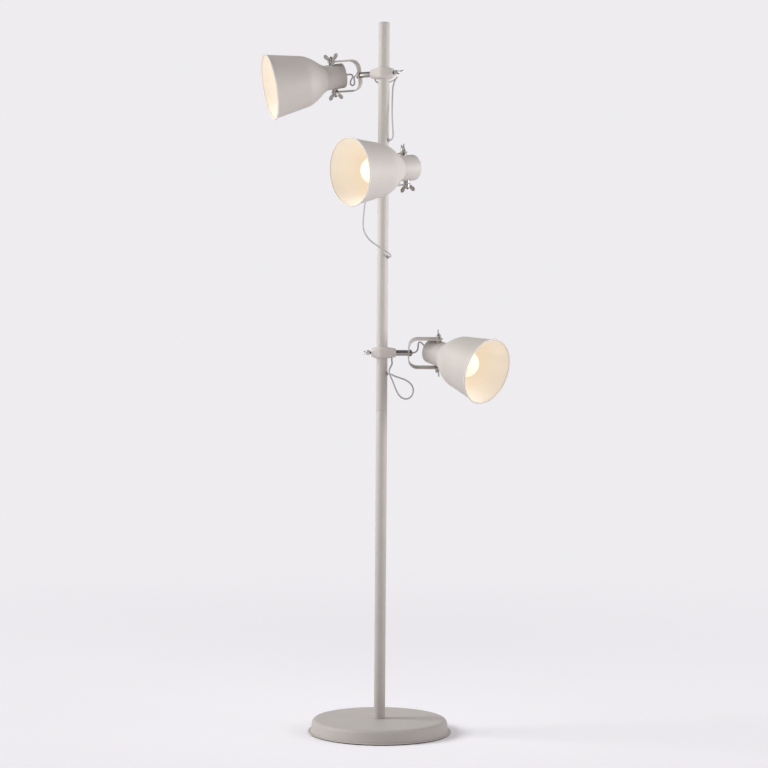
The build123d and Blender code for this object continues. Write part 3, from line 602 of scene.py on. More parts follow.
def lathe(name, outline, segments=72, closed=False, caps=(False, False)):
    """A ring is extruded along an outline of (radius, height), round Z."""
    deselect_all()
    radius, height = outline[0]
    bpy.ops.mesh.primitive_circle_add(vertices=segments, radius=radius, location=(0, 0, height))
    piece = settle(bpy.context.object, name)
    bpy.ops.object.mode_set(mode="EDIT")
    bpy.ops.mesh.select_mode(type="EDGE")
    bpy.ops.mesh.select_all(action="SELECT")
    if caps[0]:
        bpy.ops.mesh.edge_face_add()
    for (r0, z0), (r1, z1) in zip(outline, outline[1:]):
        bpy.ops.mesh.extrude_edges_move(TRANSFORM_OT_translate={"value": (0, 0, z1 - z0)})
        bpy.ops.transform.resize(value=(r1 / r0, r1 / r0, 1), center_override=(0, 0, z1))
    if caps[1]:
        bpy.ops.mesh.edge_face_add()
    if closed:
        bpy.ops.mesh.select_all(action="DESELECT")
        bpy.ops.mesh.select_non_manifold(extend=False)
        bpy.ops.mesh.bridge_edge_loops()
    bpy.ops.mesh.select_all(action="SELECT")
    bpy.ops.mesh.remove_doubles(threshold=1e-6)
    bpy.ops.mesh.normals_make_consistent(inside=False)
    bpy.ops.object.mode_set(mode="OBJECT")
    return piece


def rod(name, radius, start, end, segments=48):
    """A round bar along Z."""
    return lathe(name, [(radius, start), (radius, end)], segments, caps=(True, True))


def turn_to(piece, matrix):
    piece.data.transform(matrix)
    return piece


def join(pieces, name):
    deselect_all()
    for piece in pieces:
        piece.select_set(True)
    bpy.context.view_layer.objects.active = pieces[0]
    bpy.ops.object.join()
    joined = bpy.context.object
    joined.name = name
    joined.data.name = name
    return joined


def thread(radius, root, height, end, pitch, rise=0.35):
    """A thread as rings of its pitch, from the root at the given height."""
    rings = []
    while height + pitch <= end:
        rings += [(radius, height + rise * pitch), (radius, height + 0.6 * pitch), (root, height + pitch)]
        height += pitch
    return rings


def threaded(name, radius, start, end, segments=40):
    """A threaded bar, its end chamfered."""
    root = radius - 0.55 * screw_pitch
    outline = [(root, start), *thread(radius, root, start, end - 0.4 * mm, screw_pitch)]
    outline += [(root, end - 0.2 * mm), (root - 0.3 * mm, end)]
    return lathe(name, outline, segments, caps=(True, True))


def finish_piece(piece, material):
    piece.data.materials.clear()
    piece.data.materials.append(material)


def unselect_mesh(piece):
    activate(piece)
    for part in (*piece.data.polygons, *piece.data.edges, *piece.data.vertices):
        part.select = False


def select_faces(piece, chosen):
    """Leaves the piece in edit mode with the faces selected that the test takes."""
    unselect_mesh(piece)
    for polygon in piece.data.polygons:
        polygon.select = chosen(polygon)
    bpy.ops.object.mode_set(mode="EDIT")
    bpy.ops.mesh.select_mode(type="FACE")


def select_edges(piece, chosen):
    """Leaves the piece in edit mode with the edges selected whose two ends the test takes."""
    unselect_mesh(piece)
    corners = piece.data.vertices
    for edge in piece.data.edges:
        edge.select = chosen(*(corners[index].co for index in edge.vertices))
    bpy.ops.object.mode_set(mode="EDIT")
    bpy.ops.mesh.select_mode(type="EDGE")


def face_outwards(piece):
    activate(piece)
    bpy.ops.object.mode_set(mode="EDIT")
    bpy.ops.mesh.select_all(action="SELECT")
    bpy.ops.mesh.remove_doubles(threshold=tiny)
    bpy.ops.mesh.normals_make_consistent(inside=False)
    bpy.ops.object.mode_set(mode="OBJECT")


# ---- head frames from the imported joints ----
joints = {joint["name"]: joint for joint in frame["joints"]}


def frame_matrix(x, y, z, origin):
    matrix = Matrix.Identity(4)
    for column, vector in enumerate((x, y, z, origin)):
        for row in range(3):
            matrix[row][column] = vector[row]
    return matrix


up = Vector((0, 0, 1))
along_x = frame_matrix((0, 1, 0), (0, 0, 1), (1, 0, 0), (0, 0, 0))


class Head:
    """Directions and places of one head at rest."""

    def __init__(self, name):
        self.centre = Vector(joints[f"{name}_swivel"]["pos_m"])
        self.stem = Vector(joints[f"{name}_roll"]["axis"]).normalized()
        self.hinge = Vector(joints[f"{name}_tilt"]["axis"]).normalized()
        self.pivot = Vector(joints[f"{name}_tilt"]["pos_m"])
        across = self.hinge.cross(self.stem)
        tilt = radians(tilts[name])
        self.axis = self.stem * cos(tilt) + across * sin(tilt)
        side = up.cross(self.stem)
        # X along the stem, Z up
        self.clamp = frame_matrix(self.stem, side, up, self.centre)
        # Z along the stem, X level
        self.along = frame_matrix(side, up, self.stem, self.centre)
        # X along the stem, Z along the hinge
        self.yoke = frame_matrix(self.stem, across, self.hinge, self.centre)
        # Z out of the shade's mouth, X along the hinge
        self.shade = frame_matrix(self.hinge, self.axis.cross(self.hinge), self.axis, self.pivot)

    def wing_seat(self, side, turn):
        """Z out of the arm, X along the wings."""
        outward = self.hinge * side
        across = outward.cross(self.stem)
        angle = radians(turn)
        span = self.stem * cos(angle) + across * sin(angle)
        seat = self.pivot + outward * (bracket_gap / 2 + bracket_strip + seat_fit)
        return frame_matrix(span, outward.cross(span), outward, seat)

    def screw_seat(self, turn):
        """Z away from the barrel's back end, X along the wings."""
        behind = -self.stem
        level = up.cross(behind)
        angle = radians(turn)
        span = level * cos(angle) + behind.cross(level) * sin(angle)
        seat = self.centre + behind * (barrel_back + screw_neck)
        return frame_matrix(span, behind.cross(span), behind, seat)


heads = {name: Head(name) for name in head_names}


def put(master, name, matrix, body, nodes):
    """A copy of a master piece, with its own mesh, in its place on its body."""
    piece = master.copy()
    piece.data = master.data.copy()
    piece.name = name
    piece.data.name = name
    piece.data.transform(matrix)
    bpy.context.scene.collection.objects.link(piece)
    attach(piece, body)
    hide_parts(*nodes)


# ---- camera ----
def make_camera():
    """Level, in front of the pole, turned a little about its line of sight as the photograph is."""
    data = bpy.data.cameras.new("camera")
    data.sensor_width = 36
    data.lens = camera_lens
    data.clip_end = 200
    camera = bpy.data.objects.new("camera", data)
    camera.location = camera_place
    camera.rotation_euler = (radians(90), camera_roll, 0)
    bpy.context.scene.collection.objects.link(camera)
    bpy.context.scene.camera = camera


def make_floor():
    """A pale floor in the background's own colour, which keeps the lamp's shadow."""
    deselect_all()
    bpy.ops.mesh.primitive_plane_add(size=80, location=(0, 20, 0))
    floor = settle(bpy.context.object, "floor")
    material, nodes, links, bsdf = new_material("floor")
    tone = use_mottle(
        nodes, links, bsdf, floor_colour, toned(floor_colour, 0.995), scale=3, roughness=0.9, spread=0.05)
    gain = nodes.new("ShaderNodeMix")
    gain.data_type = "RGBA"
    gain.blend_type = "MULTIPLY"
    gain.inputs["B"].default_value = opaque((floor_gain,) * 3)
    links.new(nodes.new("ShaderNodeLightPath").outputs["Is Camera Ray"], gain.inputs["Factor"])
    links.new(tone.outputs["Colour"], gain.inputs["A"])
    links.new(gain.outputs["Result"], bsdf.inputs["Base Color"])
    bsdf.inputs["Specular IOR Level"].default_value = 0.0
    place = nodes.new("ShaderNodeTexCoord")
    reach = nodes.new("ShaderNodeVectorMath")
    reach.operation = "LENGTH"
    links.new(place.outputs["Object"], reach.inputs[0])
    fade = nodes.new("ShaderNodeMapRange")
    fade.interpolation_type = "SMOOTHSTEP"
    set_inputs(fade, {"From Min": floor_fade[0], "From Max": floor_fade[1]})
    links.new(reach.outputs["Value"], fade.inputs["Value"])
    far = nodes.new("ShaderNodeEmission")
    far.inputs["Color"].default_value = opaque(background)
    blend = nodes.new("ShaderNodeMixShader")
    links.new(fade.outputs["Result"], blend.inputs["Fac"])
    links.new(bsdf.outputs["BSDF"], blend.inputs[1])
    links.new(far.outputs["Emission"], blend.inputs[2])
    links.new(blend.outputs["Shader"], nodes["Material Output"].inputs["Surface"])
    finish_piece(floor, material)


def make_studio():
    """A pale room: even to the camera, and to the lamp brighter at the sides and back than in front."""
    world = bpy.data.worlds.new("studio")
    bpy.context.scene.world = world
    world.use_nodes = True
    nodes, links = world.node_tree.nodes, world.node_tree.links
    shader = nodes["Background"]
    shader.inputs["Color"].default_value = opaque(background)
    direction = nodes.new("ShaderNodeSeparateXYZ")
    links.new(nodes.new("ShaderNodeTexCoord").outputs["Generated"], direction.inputs[0])

    def math(operation, first, second):
        node = nodes.new("ShaderNodeMath")
        node.operation = operation
        for socket, value in zip(node.inputs, (first, second)):
            if isinstance(value, (int, float)):
                socket.default_value = value
            else:
                links.new(value, socket)
        return node.outputs[0]

    def lobe(value, start, end, amount):
        """Nothing below the start, and the whole amount past the end."""
        node = nodes.new("ShaderNodeMapRange")
        node.interpolation_type = "SMOOTHSTEP"
        set_inputs(node, {"From Min": start, "From Max": end, "To Max": amount})
        links.new(value, node.inputs["Value"])
        return node.outputs["Result"]

    def varied(level, lobes):
        for axis, start, end, amount in lobes:
            level = math("ADD", level, lobe(direction.outputs[axis], start, end, amount))
        return level

    def choose(share, first, second):
        node = nodes.new("ShaderNodeMix")
        links.new(share, node.inputs["Factor"])
        for label, value in (("A", first), ("B", second)):
            if isinstance(value, float):
                node.inputs[label].default_value = value
            else:
                links.new(value, node.inputs[label])
        return node.outputs["Result"]

    path = nodes.new("ShaderNodeLightPath")
    room = varied(room_level, room_lobes)
    mirrored = varied(mirror_level, mirror_lobes)
    lit = choose(path.outputs["Is Glossy Ray"], room, mirrored)
    seen = math("MAXIMUM", path.outputs["Is Camera Ray"], path.outputs["Is Transmission Ray"])
    links.new(choose(seen, lit, 1.0), shader.inputs["Strength"])


def make_sun():
    """A wide soft lamp on the left, for the shadow on the floor."""
    data = bpy.data.lights.new("soft_lamp", "SUN")
    data.energy = sun_strength
    data.angle = radians(sun_spread)
    lamp = bpy.data.objects.new("soft_lamp", data)
    lamp.rotation_euler = Vector(sun_from).to_track_quat("Z", "Y").to_euler()
    bpy.context.scene.collection.objects.link(lamp)


def make_soft_boxes():
    """A gridded soft box on each side at the height of the upper heads, which hardly reaches the floor."""
    for name, (side, power) in box_powers.items():
        data = bpy.data.lights.new(f"soft_box_{name}", "AREA")
        data.shape = "SQUARE"
        data.size = box_size
        data.energy = power
        data.spread = radians(box_spread)
        lamp = bpy.data.objects.new(f"soft_box_{name}", data)
        place = Vector((side * box_distance[0], box_distance[1], box_height))
        lamp.location = place
        lamp.rotation_euler = (place - up * box_height).to_track_quat("Z", "Y").to_euler()
        lamp.visible_camera = False
        bpy.context.scene.collection.objects.link(lamp)


bpy.context.scene.view_settings.view_transform = "Standard"
make_camera()
make_floor()
make_studio()
make_sun()
make_soft_boxes()


# ---- leads ----
def make_lead(name, route, centre, nodes):
    """A tube along a NURBS line through the route, which runs between two parts of the lamp."""
    points = [centre + Vector(point) * mm for point in route]
    data = bpy.data.curves.new(name, "CURVE")
    data.dimensions = "3D"
    spline = data.splines.new("NURBS")
    spline.points.add(len(points) - 1)
    for knot, point in zip(spline.points, points):
        knot.co = (*point, 1)
    spline.order_u = 3
    spline.use_endpoint_u = True
    spline.resolution_u = 8
    line = bpy.data.objects.new(name, data)
    bpy.context.scene.collection.objects.link(line)
    bpy.context.view_layer.update()
    traced = bpy.data.meshes.new_from_object(line.evaluated_get(bpy.context.evaluated_depsgraph_get()))
    bpy.data.meshes.remove(traced)
    data.bevel_depth = lead_diameter / 2
    data.bevel_resolution = 5
    data.use_fill_caps = True
    activate(line)
    bpy.ops.object.convert(target="MESH")
    lead = bpy.context.object
    lead.name = name
    lead.data.name = name
    finish_piece(lead, sheath)
    smooth(lead, 60)
    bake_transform(lead)
    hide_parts(*nodes)


for name in head_names:
    make_lead(
        f"{name}_lead_from_pole", pole_routes[name], heads[name].centre,
        [f"{name}_pole_lead"])
    make_lead(
        f"{name}_lead_to_clamp", clamp_routes[name], heads[name].centre,
        [f"{name}_clamp_lead"])
    make_lead(
        f"{name}_lead_to_shade", head_routes[name], heads[name].centre,
        [f"{name}_head_lead"])


# ---- base and pole ----
def closed_tube(name, outer, inner, start, end, bevel, segments=96):
    """A tube along Z, with its outer rims rounded."""
    outline = rounded(
        [(inner, start), (outer, start), (outer, end), (inner, end)], (bevel, bevel), 3)
    return lathe(name, outline, segments, closed=True)


def stand_piece(piece, material, nodes, angle=35):
    finish_piece(piece, material)
    smooth(piece, angle)
    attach(piece, "stand")
    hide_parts(*nodes)


def make_base_cover():
    """Spun sheet: flat top, rounded shoulder, leaning wall and a flat flange with a rolled edge."""
    wall = base_radius - flange_width
    foot = pad_thickness
    hole = stud_radius + seat_fit
    bead = 0.8 * mm
    points = [
        (hole, base_height), (wall - wall_taper, base_height), (wall, foot + cover_sheet),
        (base_radius, foot + 2 * bead), (base_radius, foot), (wall - cover_sheet, foot),
        (wall - wall_taper - cover_sheet, base_height - cover_sheet), (hole, base_height - cover_sheet),
    ]
    radii = (cover_shoulder, 1 * mm, bead * 0.98, bead * 0.98, 1 * mm, cover_shoulder - cover_sheet)
    cover = lathe("base_cover_shell", rounded(points, radii, 10), 192, closed=True)
    hole_tool = rod("inlet_hole", gland_radius + seat_fit, 0, 12 * mm, 48)
    turn_to(hole_tool, frame_matrix((1, 0, 0), (0, 0, -1), (0, 1, 0), (0, wall - 9 * mm, gland_height)))
    cut(cover, hole_tool)
    stand_piece(cover, coat, ["base_cover"], 40)


def make_pad():
    edge = 0.5 * mm
    radius = base_radius - pad_inset
    outline = rounded(
        [(radius * 0.2, 0), (radius, 0), (radius, pad_thickness), (radius * 0.2, pad_thickness)],
        (edge, edge), 3)
    pad = lathe("floor_pad", outline, 144, caps=(True, True))
    stand_piece(pad, pad_rubber, ["base_pad"])


def make_foot():
    """The turned ring under the tube, with the spigot and the threaded tube that it stands on."""
    sink = 0.5 * mm
    shoulder = base_height + foot_band
    ring = closed_tube("pole_foot_ring", pole_radius, stud_bore, base_height, shoulder, 0.5 * mm)
    spigot = closed_tube(
        "spigot", pole_bore - slide_fit, stud_bore, shoulder - sink, shoulder + foot_spigot, 0.6 * mm)
    stud = threaded_tube(
        "foot_thread", stud_radius, stud_bore, stud_low_end, base_height + sink, stud_pitch)
    ring = join([ring, spigot, stud], "pole_foot_turned")
    # the darker coat is painted shade at the foot of the pole
    stand_piece(ring, shaded_foot_coat, ["pole_foot"])


def threaded_tube(name, radius, bore, start, end, pitch, segments=64):
    root = radius - 0.55 * pitch
    outline = [(bore, start), (root, start), *thread(radius, root, start, end, pitch, 0.4)]
    outline += [(root, end), (bore, end)]
    return lathe(name, outline, segments, closed=True)


def make_pole():
    """Two tubes that meet at a fine seam, drilled for the leads."""
    lengths = [
        (base_height + foot_band, pole_seam - seam_gap / 2),
        (pole_seam + seam_gap / 2, lamp_height - cap_dome),
    ]
    tubes = [closed_tube("tube", pole_radius, pole_bore, low, high, tube_rounding) for low, high in lengths]
    for height in lead_holes.values():
        drill = rod("drill", grommet_neck + seat_fit, 0, 2 * pole_radius, 32)
        turn_to(drill, hole_matrix(height))
        cut(tubes[0] if height < pole_seam else tubes[1], drill)
    pole = join(tubes, "pole_tubes")
    stand_piece(pole, coat, ["pole"])


def hole_matrix(height):
    """Z out of a lead's hole, from the pole's axis."""
    out = Vector((cos(lead_hole_angle), sin(lead_hole_angle), 0))
    return frame_matrix(up, out.cross(up), out, (0, 0, height))


def make_cap():
    """A push-in cap with a low dome."""
    top = lamp_height
    rim = top - cap_dome
    plug = pole_bore - slide_fit
    centre = 0.4 * mm
    points = [
        (centre, top - 1.6 * mm), (plug - cap_wall, top - 1.6 * mm), (plug - cap_wall, rim - cap_plug),
        (plug, rim - cap_plug), (plug, rim), (pole_radius, rim), (pole_radius, rim + cap_edge),
        (cap_crown, top), (centre, top),
    ]
    outline = rounded(points, (0, 0, 0.4 * mm, 0, 0.2 * mm, 1.2 * mm, 5 * mm), 5)
    cap = lathe("pole_cap_domed", outline, 96, caps=(True, True))
    stand_piece(cap, coat, ["pole_cap"])


def make_bushes():
    """Each lead leaves the pole through a small bush that hugs the tube."""
    face = pole_radius + grommet_lip - 0.5 * mm
    back, barb, seat = grommet_steps
    points = [
        (grommet_bore, back), (grommet_barb, back), (grommet_neck, barb), (grommet_neck, seat),
        (grommet_flange, seat), (grommet_flange, face - 0.2 * mm), (grommet_neck, face + 0.5 * mm),
        (grommet_bore, face + 0.5 * mm),
    ]
    outline = rounded(points, (0.2 * mm, 0.1 * mm, 0, 0, 0.4 * mm, 0.4 * mm), 3)
    outline[-1] = outline[-1] + Vector((0.15 * mm, 0))
    bushes = []
    for height in lead_holes.values():
        bush = lathe("bush", outline, 48, closed=True)
        turn_to(bush, hole_matrix(height))
        bushes.append(bush)
    bush = join(bushes, "pole_bushes")
    stand_piece(bush, bush_plastic, ["pole_grommets"])


def make_gland():
    """The mains inlet: a flange with a tapering nose."""
    lean = wall_taper * (gland_height - pad_thickness) / (base_height - pad_thickness)
    wall = base_radius - flange_width - lean
    start = wall - cover_sheet - gland_grip
    face = wall + gland_step
    points = [
        (gland_bore, start), (gland_flange, start), (gland_flange, start + gland_lip),
        (gland_radius, start + gland_lip), (gland_radius, face), (gland_face, face),
        (gland_face - gland_taper, face + gland_lip), (gland_bore, face + gland_lip),
    ]
    outline = rounded(points, (0.5 * mm, 0.5 * mm, 0, 0, 0.3 * mm, 1 * mm), 4)
    gland = lathe("mains_inlet_bush", outline, 64, closed=True)
    turn_to(gland, frame_matrix((1, 0, 0), (0, 0, -1), (0, 1, 0), (0, 0, gland_height)))
    stand_piece(gland, bush_plastic, ["cable_gland"])


make_base_cover()
make_pad()
make_foot()
make_pole()
make_cap()
make_bushes()
make_gland()


# ---- heads: each piece is modelled once, in its own frame, and copied to the three heads ----
def make_clamp():
    """Collar and barrel drawn together into one casting, with the stem in front and the screw behind."""
    half = collar_height / 2
    core = 4 * mm
    collar = lathe("collar", rounded(
        [(core, -half), (collar_radius, -half), (collar_radius, half), (core, half)],
        (collar_rounding, collar_rounding), 6), 96, caps=(True, True))
    barrel = lathe("barrel", rounded(
        [(core, -barrel_back), (barrel_end_radius, -barrel_back), (barrel_end_radius, barrel_front),
         (core, barrel_front)],
        (1.8 * mm, 0.9 * mm), 4), 80, caps=(True, True))
    turn_to(barrel, along_x)
    casting = join([collar, barrel], "clamp")
    activate(casting)
    bpy.ops.object.mode_set(mode="EDIT")
    bpy.ops.mesh.select_all(action="SELECT")
    bpy.ops.mesh.convex_hull()
    bpy.ops.object.mode_set(mode="OBJECT")
    apply_modifier(casting, "REMESH", mode="VOXEL", voxel_size=clamp_voxel)
    apply_modifier(casting, "SMOOTH", factor=0.5, iterations=clamp_softening)
    cut(casting, rod("pole_bore", pole_radius + slide_fit, -collar_height, collar_height, 96))
    for radius, start, end, segments in (
        (stem_radius + seat_fit, stem_seat, 2 * barrel_front, 64),
        (screw_radius + seat_fit, -2 * barrel_back, 0, 48),
    ):
        cut(casting, turn_to(rod("bore", radius, start, end, segments), along_x))
    lead_way = rod("lead_way", lead_exit_radius, -collar_height, 0, 40)
    cut(casting, turn_to(lead_way, Matrix.Translation((lead_exit, 0, 0))))
    finish_piece(casting, clamp_coat)
    return smooth(casting, 38)


def make_stem():
    """A plated tube whose end is turned down and threaded for the nut in the bracket."""
    length = bracket_back + bracket_strip + seat_fit + stem_nut_height + nipple_end
    points = [
        (stem_bore, stem_seat), (stem_radius, stem_seat), (stem_radius, bracket_back),
        (nipple_radius - 0.6 * mm, bracket_back),
    ]
    outline = rounded(points, (0.3 * mm, 0.4 * mm), 3)
    root = nipple_radius - 0.55 * screw_pitch
    height = bracket_back + bracket_strip * 0.4
    outline += [(root, height), *thread(nipple_radius, root, height, length - 0.3 * mm, screw_pitch, 0.38)]
    outline += [(root - 0.2 * mm, length), (nipple_bore, length), (nipple_bore, stem_seat)]
    stem = lathe("stem", outline, 72, closed=True)
    lead_way = rod("lead_way", lead_exit_radius, 0, collar_height, 40)
    turn_to(lead_way, frame_matrix((1, 0, 0), (0, 0, 1), (0, -1, 0), (0, 0, lead_exit)))
    cut(stem, lead_way)
    finish_piece(stem, plated)
    return smooth(stem, 32)


def make_stem_nut():
    """A hexagon nut with turned chamfers."""
    seat = bracket_back + bracket_strip + seat_fit
    deselect_all()
    bpy.ops.mesh.primitive_cylinder_add(
        vertices=6, radius=stem_nut_radius, depth=stem_nut_height,
        location=(0, 0, seat + stem_nut_height / 2))
    nut = settle(bpy.context.object, "nut")
    flat = stem_nut_radius * cos(pi / 6)
    rim = 0.45 * mm
    disc = lathe("turned", [
        (flat * 0.97, seat), (stem_nut_radius + 0.05 * mm, seat + 1.6 * rim),
        (stem_nut_radius + 0.05 * mm, seat + stem_nut_height - 1.6 * rim),
        (flat * 0.97, seat + stem_nut_height),
    ], 72, caps=(True, True))
    cut(nut, disc, "INTERSECT")
    cut(nut, rod("bore", nipple_radius + slide_fit, seat - 5 * mm, seat + 20 * mm, 48))
    apply_modifier(nut, "BEVEL", width=0.15 * mm, segments=2, limit_method="ANGLE", angle_limit=radians(25))
    finish_piece(nut, plated)
    return smooth(nut, 30)


def make_bracket():
    """A strip bent into a U: a section is extruded up, turned through the corner, run out and mirrored."""
    middle = bracket_back + bracket_strip / 2
    bend = bracket_corner
    straight = bracket_gap / 2 + bracket_strip - bend
    centre = (bracket_back + bend, 0, straight)
    deselect_all()
    bpy.ops.mesh.primitive_plane_add(size=1, location=(middle, 0, 0))
    strip = bpy.context.object
    strip.scale = (bracket_strip, bracket_width, 1)
    settle(strip, "bracket")
    bpy.ops.object.mode_set(mode="EDIT")
    bpy.ops.mesh.select_mode(type="FACE")
    bpy.ops.mesh.select_all(action="SELECT")
    bpy.ops.mesh.extrude_region_move(TRANSFORM_OT_translate={"value": (0, 0, straight)})
    steps = 14
    for _ in range(steps):
        bpy.ops.mesh.extrude_region_move(TRANSFORM_OT_translate={"value": (0, 0, 0)})
        bpy.ops.transform.rotate(value=-radians(90) / steps, orient_axis="Y", center_override=centre)
    bpy.ops.mesh.extrude_region_move(
        TRANSFORM_OT_translate={"value": (pivot_distance - bracket_back - bend, 0, 0)})
    bpy.ops.mesh.extrude_region_move(TRANSFORM_OT_translate={"value": (bracket_width / 2, 0, 0)})
    bpy.ops.object.mode_set(mode="OBJECT")
    # the end's two corners are rounded until they meet in a half circle
    end = pivot_distance + bracket_width / 2
    select_edges(strip, lambda start, finish: (
        min(start.x, finish.x) > end - tiny and abs(start.y - finish.y) < tiny))
    bpy.ops.mesh.bevel(offset=bracket_width / 2 - 0.05 * mm, segments=12, affect="EDGES")
    bpy.ops.object.mode_set(mode="OBJECT")
    select_faces(strip, lambda polygon: abs(polygon.center.z) < tiny)
    bpy.ops.mesh.delete(type="FACE")
    bpy.ops.object.mode_set(mode="OBJECT")
    apply_modifier(strip, "MIRROR", use_axis=(False, False, True), merge_threshold=tiny)
    face_outwards(strip)
    for side in (1, -1):
        hole = rod("hole", screw_radius + slide_fit, 0, bracket_gap, 40)
        cut(strip, turn_to(hole, frame_matrix((1, 0, 0), (0, side, 0), (0, 0, side), (pivot_distance, 0, 0))))
    hole = rod("hole", nipple_radius + slide_fit, bracket_back - 5 * mm, bracket_back + 10 * mm, 48)
    cut(strip, turn_to(hole, along_x))
    apply_modifier(
        strip, "BEVEL", width=0.35 * mm, segments=2, limit_method="ANGLE", angle_limit=radians(50),
        use_clamp_overlap=True)
    finish_piece(strip, coat)
    return smooth(strip, 32)


def make_wings(name):
    """A hub with two leaves, fused and softened as a casting."""
    core = hub_radius / 2
    hub_top = hub_radius - 1.3 * mm
    hub = lathe("hub", rounded(
        [(core, 0), (hub_radius, 0), (hub_radius - 0.4 * mm, 1.6 * mm), (hub_top, hub_height),
         (core, hub_height)],
        (0.3 * mm, 0.4 * mm, 0.7 * mm), 3), 48, caps=(True, True))
    parts = [hub]
    for side in (1, -1):
        deselect_all()
        bpy.ops.mesh.primitive_cylinder_add(
            vertices=40, radius=1, depth=wing_thickness, location=(side * leaf_middle[0], 0, leaf_middle[1]))
        leaf = bpy.context.object
        leaf.scale = (leaf_width, leaf_height / 2, 1)
        leaf.rotation_euler = (radians(90), -side * radians(leaf_angle), 0)
        parts.append(settle(leaf, "leaf"))
        deselect_all()
        bpy.ops.mesh.primitive_cube_add(size=1, location=(side * root_middle[0], 0, root_middle[1]))
        root = bpy.context.object
        root.scale = (root_length, wing_thickness, root_width)
        root.rotation_euler = (0, -side * radians(root_angle), 0)
        parts.append(settle(root, "root"))
    wings = join(parts, name)
    apply_modifier(wings, "REMESH", mode="VOXEL", voxel_size=wing_voxel)
    apply_modifier(wings, "SMOOTH", factor=0.5, iterations=wing_softening)
    return wings


def make_wing_nut():
    nut = make_wings("wing_nut")
    cut(nut, rod("bore", screw_radius + seat_fit, -5 * mm, 20 * mm, 40))
    finish_piece(nut, plated)
    return smooth(nut, 40)


def make_wing_screw():
    """As the wing nut, on a threaded shank that reaches the pole."""
    screw = make_wings("wing_screw")
    # the lighter nickel paints a reflection on the screw's leaves
    finish_piece(screw, plated_wings_reflection)
    reach = barrel_back + screw_neck - pole_radius - lay
    shank = threaded("shank", screw_radius, -0.5 * mm, reach, 40)
    turn_to(shank, frame_matrix((1, 0, 0), (0, -1, 0), (0, 0, -1), (0, 0, 0)))
    finish_piece(shank, plated_thread)
    return smooth(join([smooth(screw, 40), shank], "wing_screw"), 40)


def make_stud():
    """One pivot stud, along Z from the hinge's middle: a shoulder on the cup, a thread and a slotted head."""
    cup_inner = cup_radius - cup_wall
    shoulder = lathe("shoulder", rounded(
        [(3 * mm, 20 * mm), (stud_shoulder, 20 * mm), (stud_shoulder, bracket_gap / 2 - seat_fit),
         (3 * mm, bracket_gap / 2 - seat_fit)], (0, 0.5 * mm), 3), 56, caps=(True, True))
    saddle = rod("saddle", cup_radius + face_fit, -2 * stud_shoulder, 2 * stud_shoulder, 128)
    cut(shoulder, turn_to(saddle, along_x))
    finish_piece(shoulder, plated)
    start = cup_inner - 4 * mm
    end = bracket_gap / 2 + bracket_strip + hub_height + 3 * mm
    shank = threaded("stud", screw_radius, start + 1 * mm, end, 40)
    finish_piece(shank, plated_thread)
    core = 1 * mm
    head = lathe("head", rounded(
        [(core, start), (stud_head, start), (stud_head, start + stud_head_height),
         (core, start + stud_head_height)],
        (0.9 * mm, 0.3 * mm), 4), 48, caps=(True, True))
    deselect_all()
    bpy.ops.mesh.primitive_cube_add(size=1, location=(0, 0, start))
    slot = bpy.context.object
    slot.scale = (4 * stud_head, slot_width, 2 * slot_depth)
    cut(head, settle(slot, "slot"))
    finish_piece(head, plated)
    return smooth(join([shoulder, shank, head], "pivot_stud"), 35)


def smooth_line(points, first, last, steps):
    """Points on a soft curve through the given ones, which leaves and ends along the given slopes."""
    points = [Vector(point) for point in points]
    slopes = [(after - before) / 2 for before, after in zip(points, points[2:])]
    slopes = [Vector(first), *slopes, Vector(last)]
    line = []
    for a, b, u, v in zip(points, points[1:], slopes, slopes[1:]):
        for step in range(steps):
            t = step / steps
            line.append(
                a * (2 * t ** 3 - 3 * t ** 2 + 1) + u * (t ** 3 - 2 * t ** 2 + t)
                + b * (3 * t ** 2 - 2 * t ** 3) + v * (t ** 3 - t ** 2))
    return line + [points[-1]]


def bell(inset):
    """The shade's shoulder from its neck to the straight flank, as (radius, distance)."""
    points = [(neck_radius, neck_distance + 1.5 * mm)]
    points += [(radius * mm, distance * mm) for distance, radius in reversed(bell_shoulder)]
    points.append((flank_radius, flank_end))
    points = [(radius - inset, distance) for radius, distance in points]
    slope = (mouth_radius - rim_bead - flank_radius) / (mouth_distance - flank_end)
    return smooth_line(points, (0, 4 * mm), (slope * 17 * mm, 17 * mm), 5)


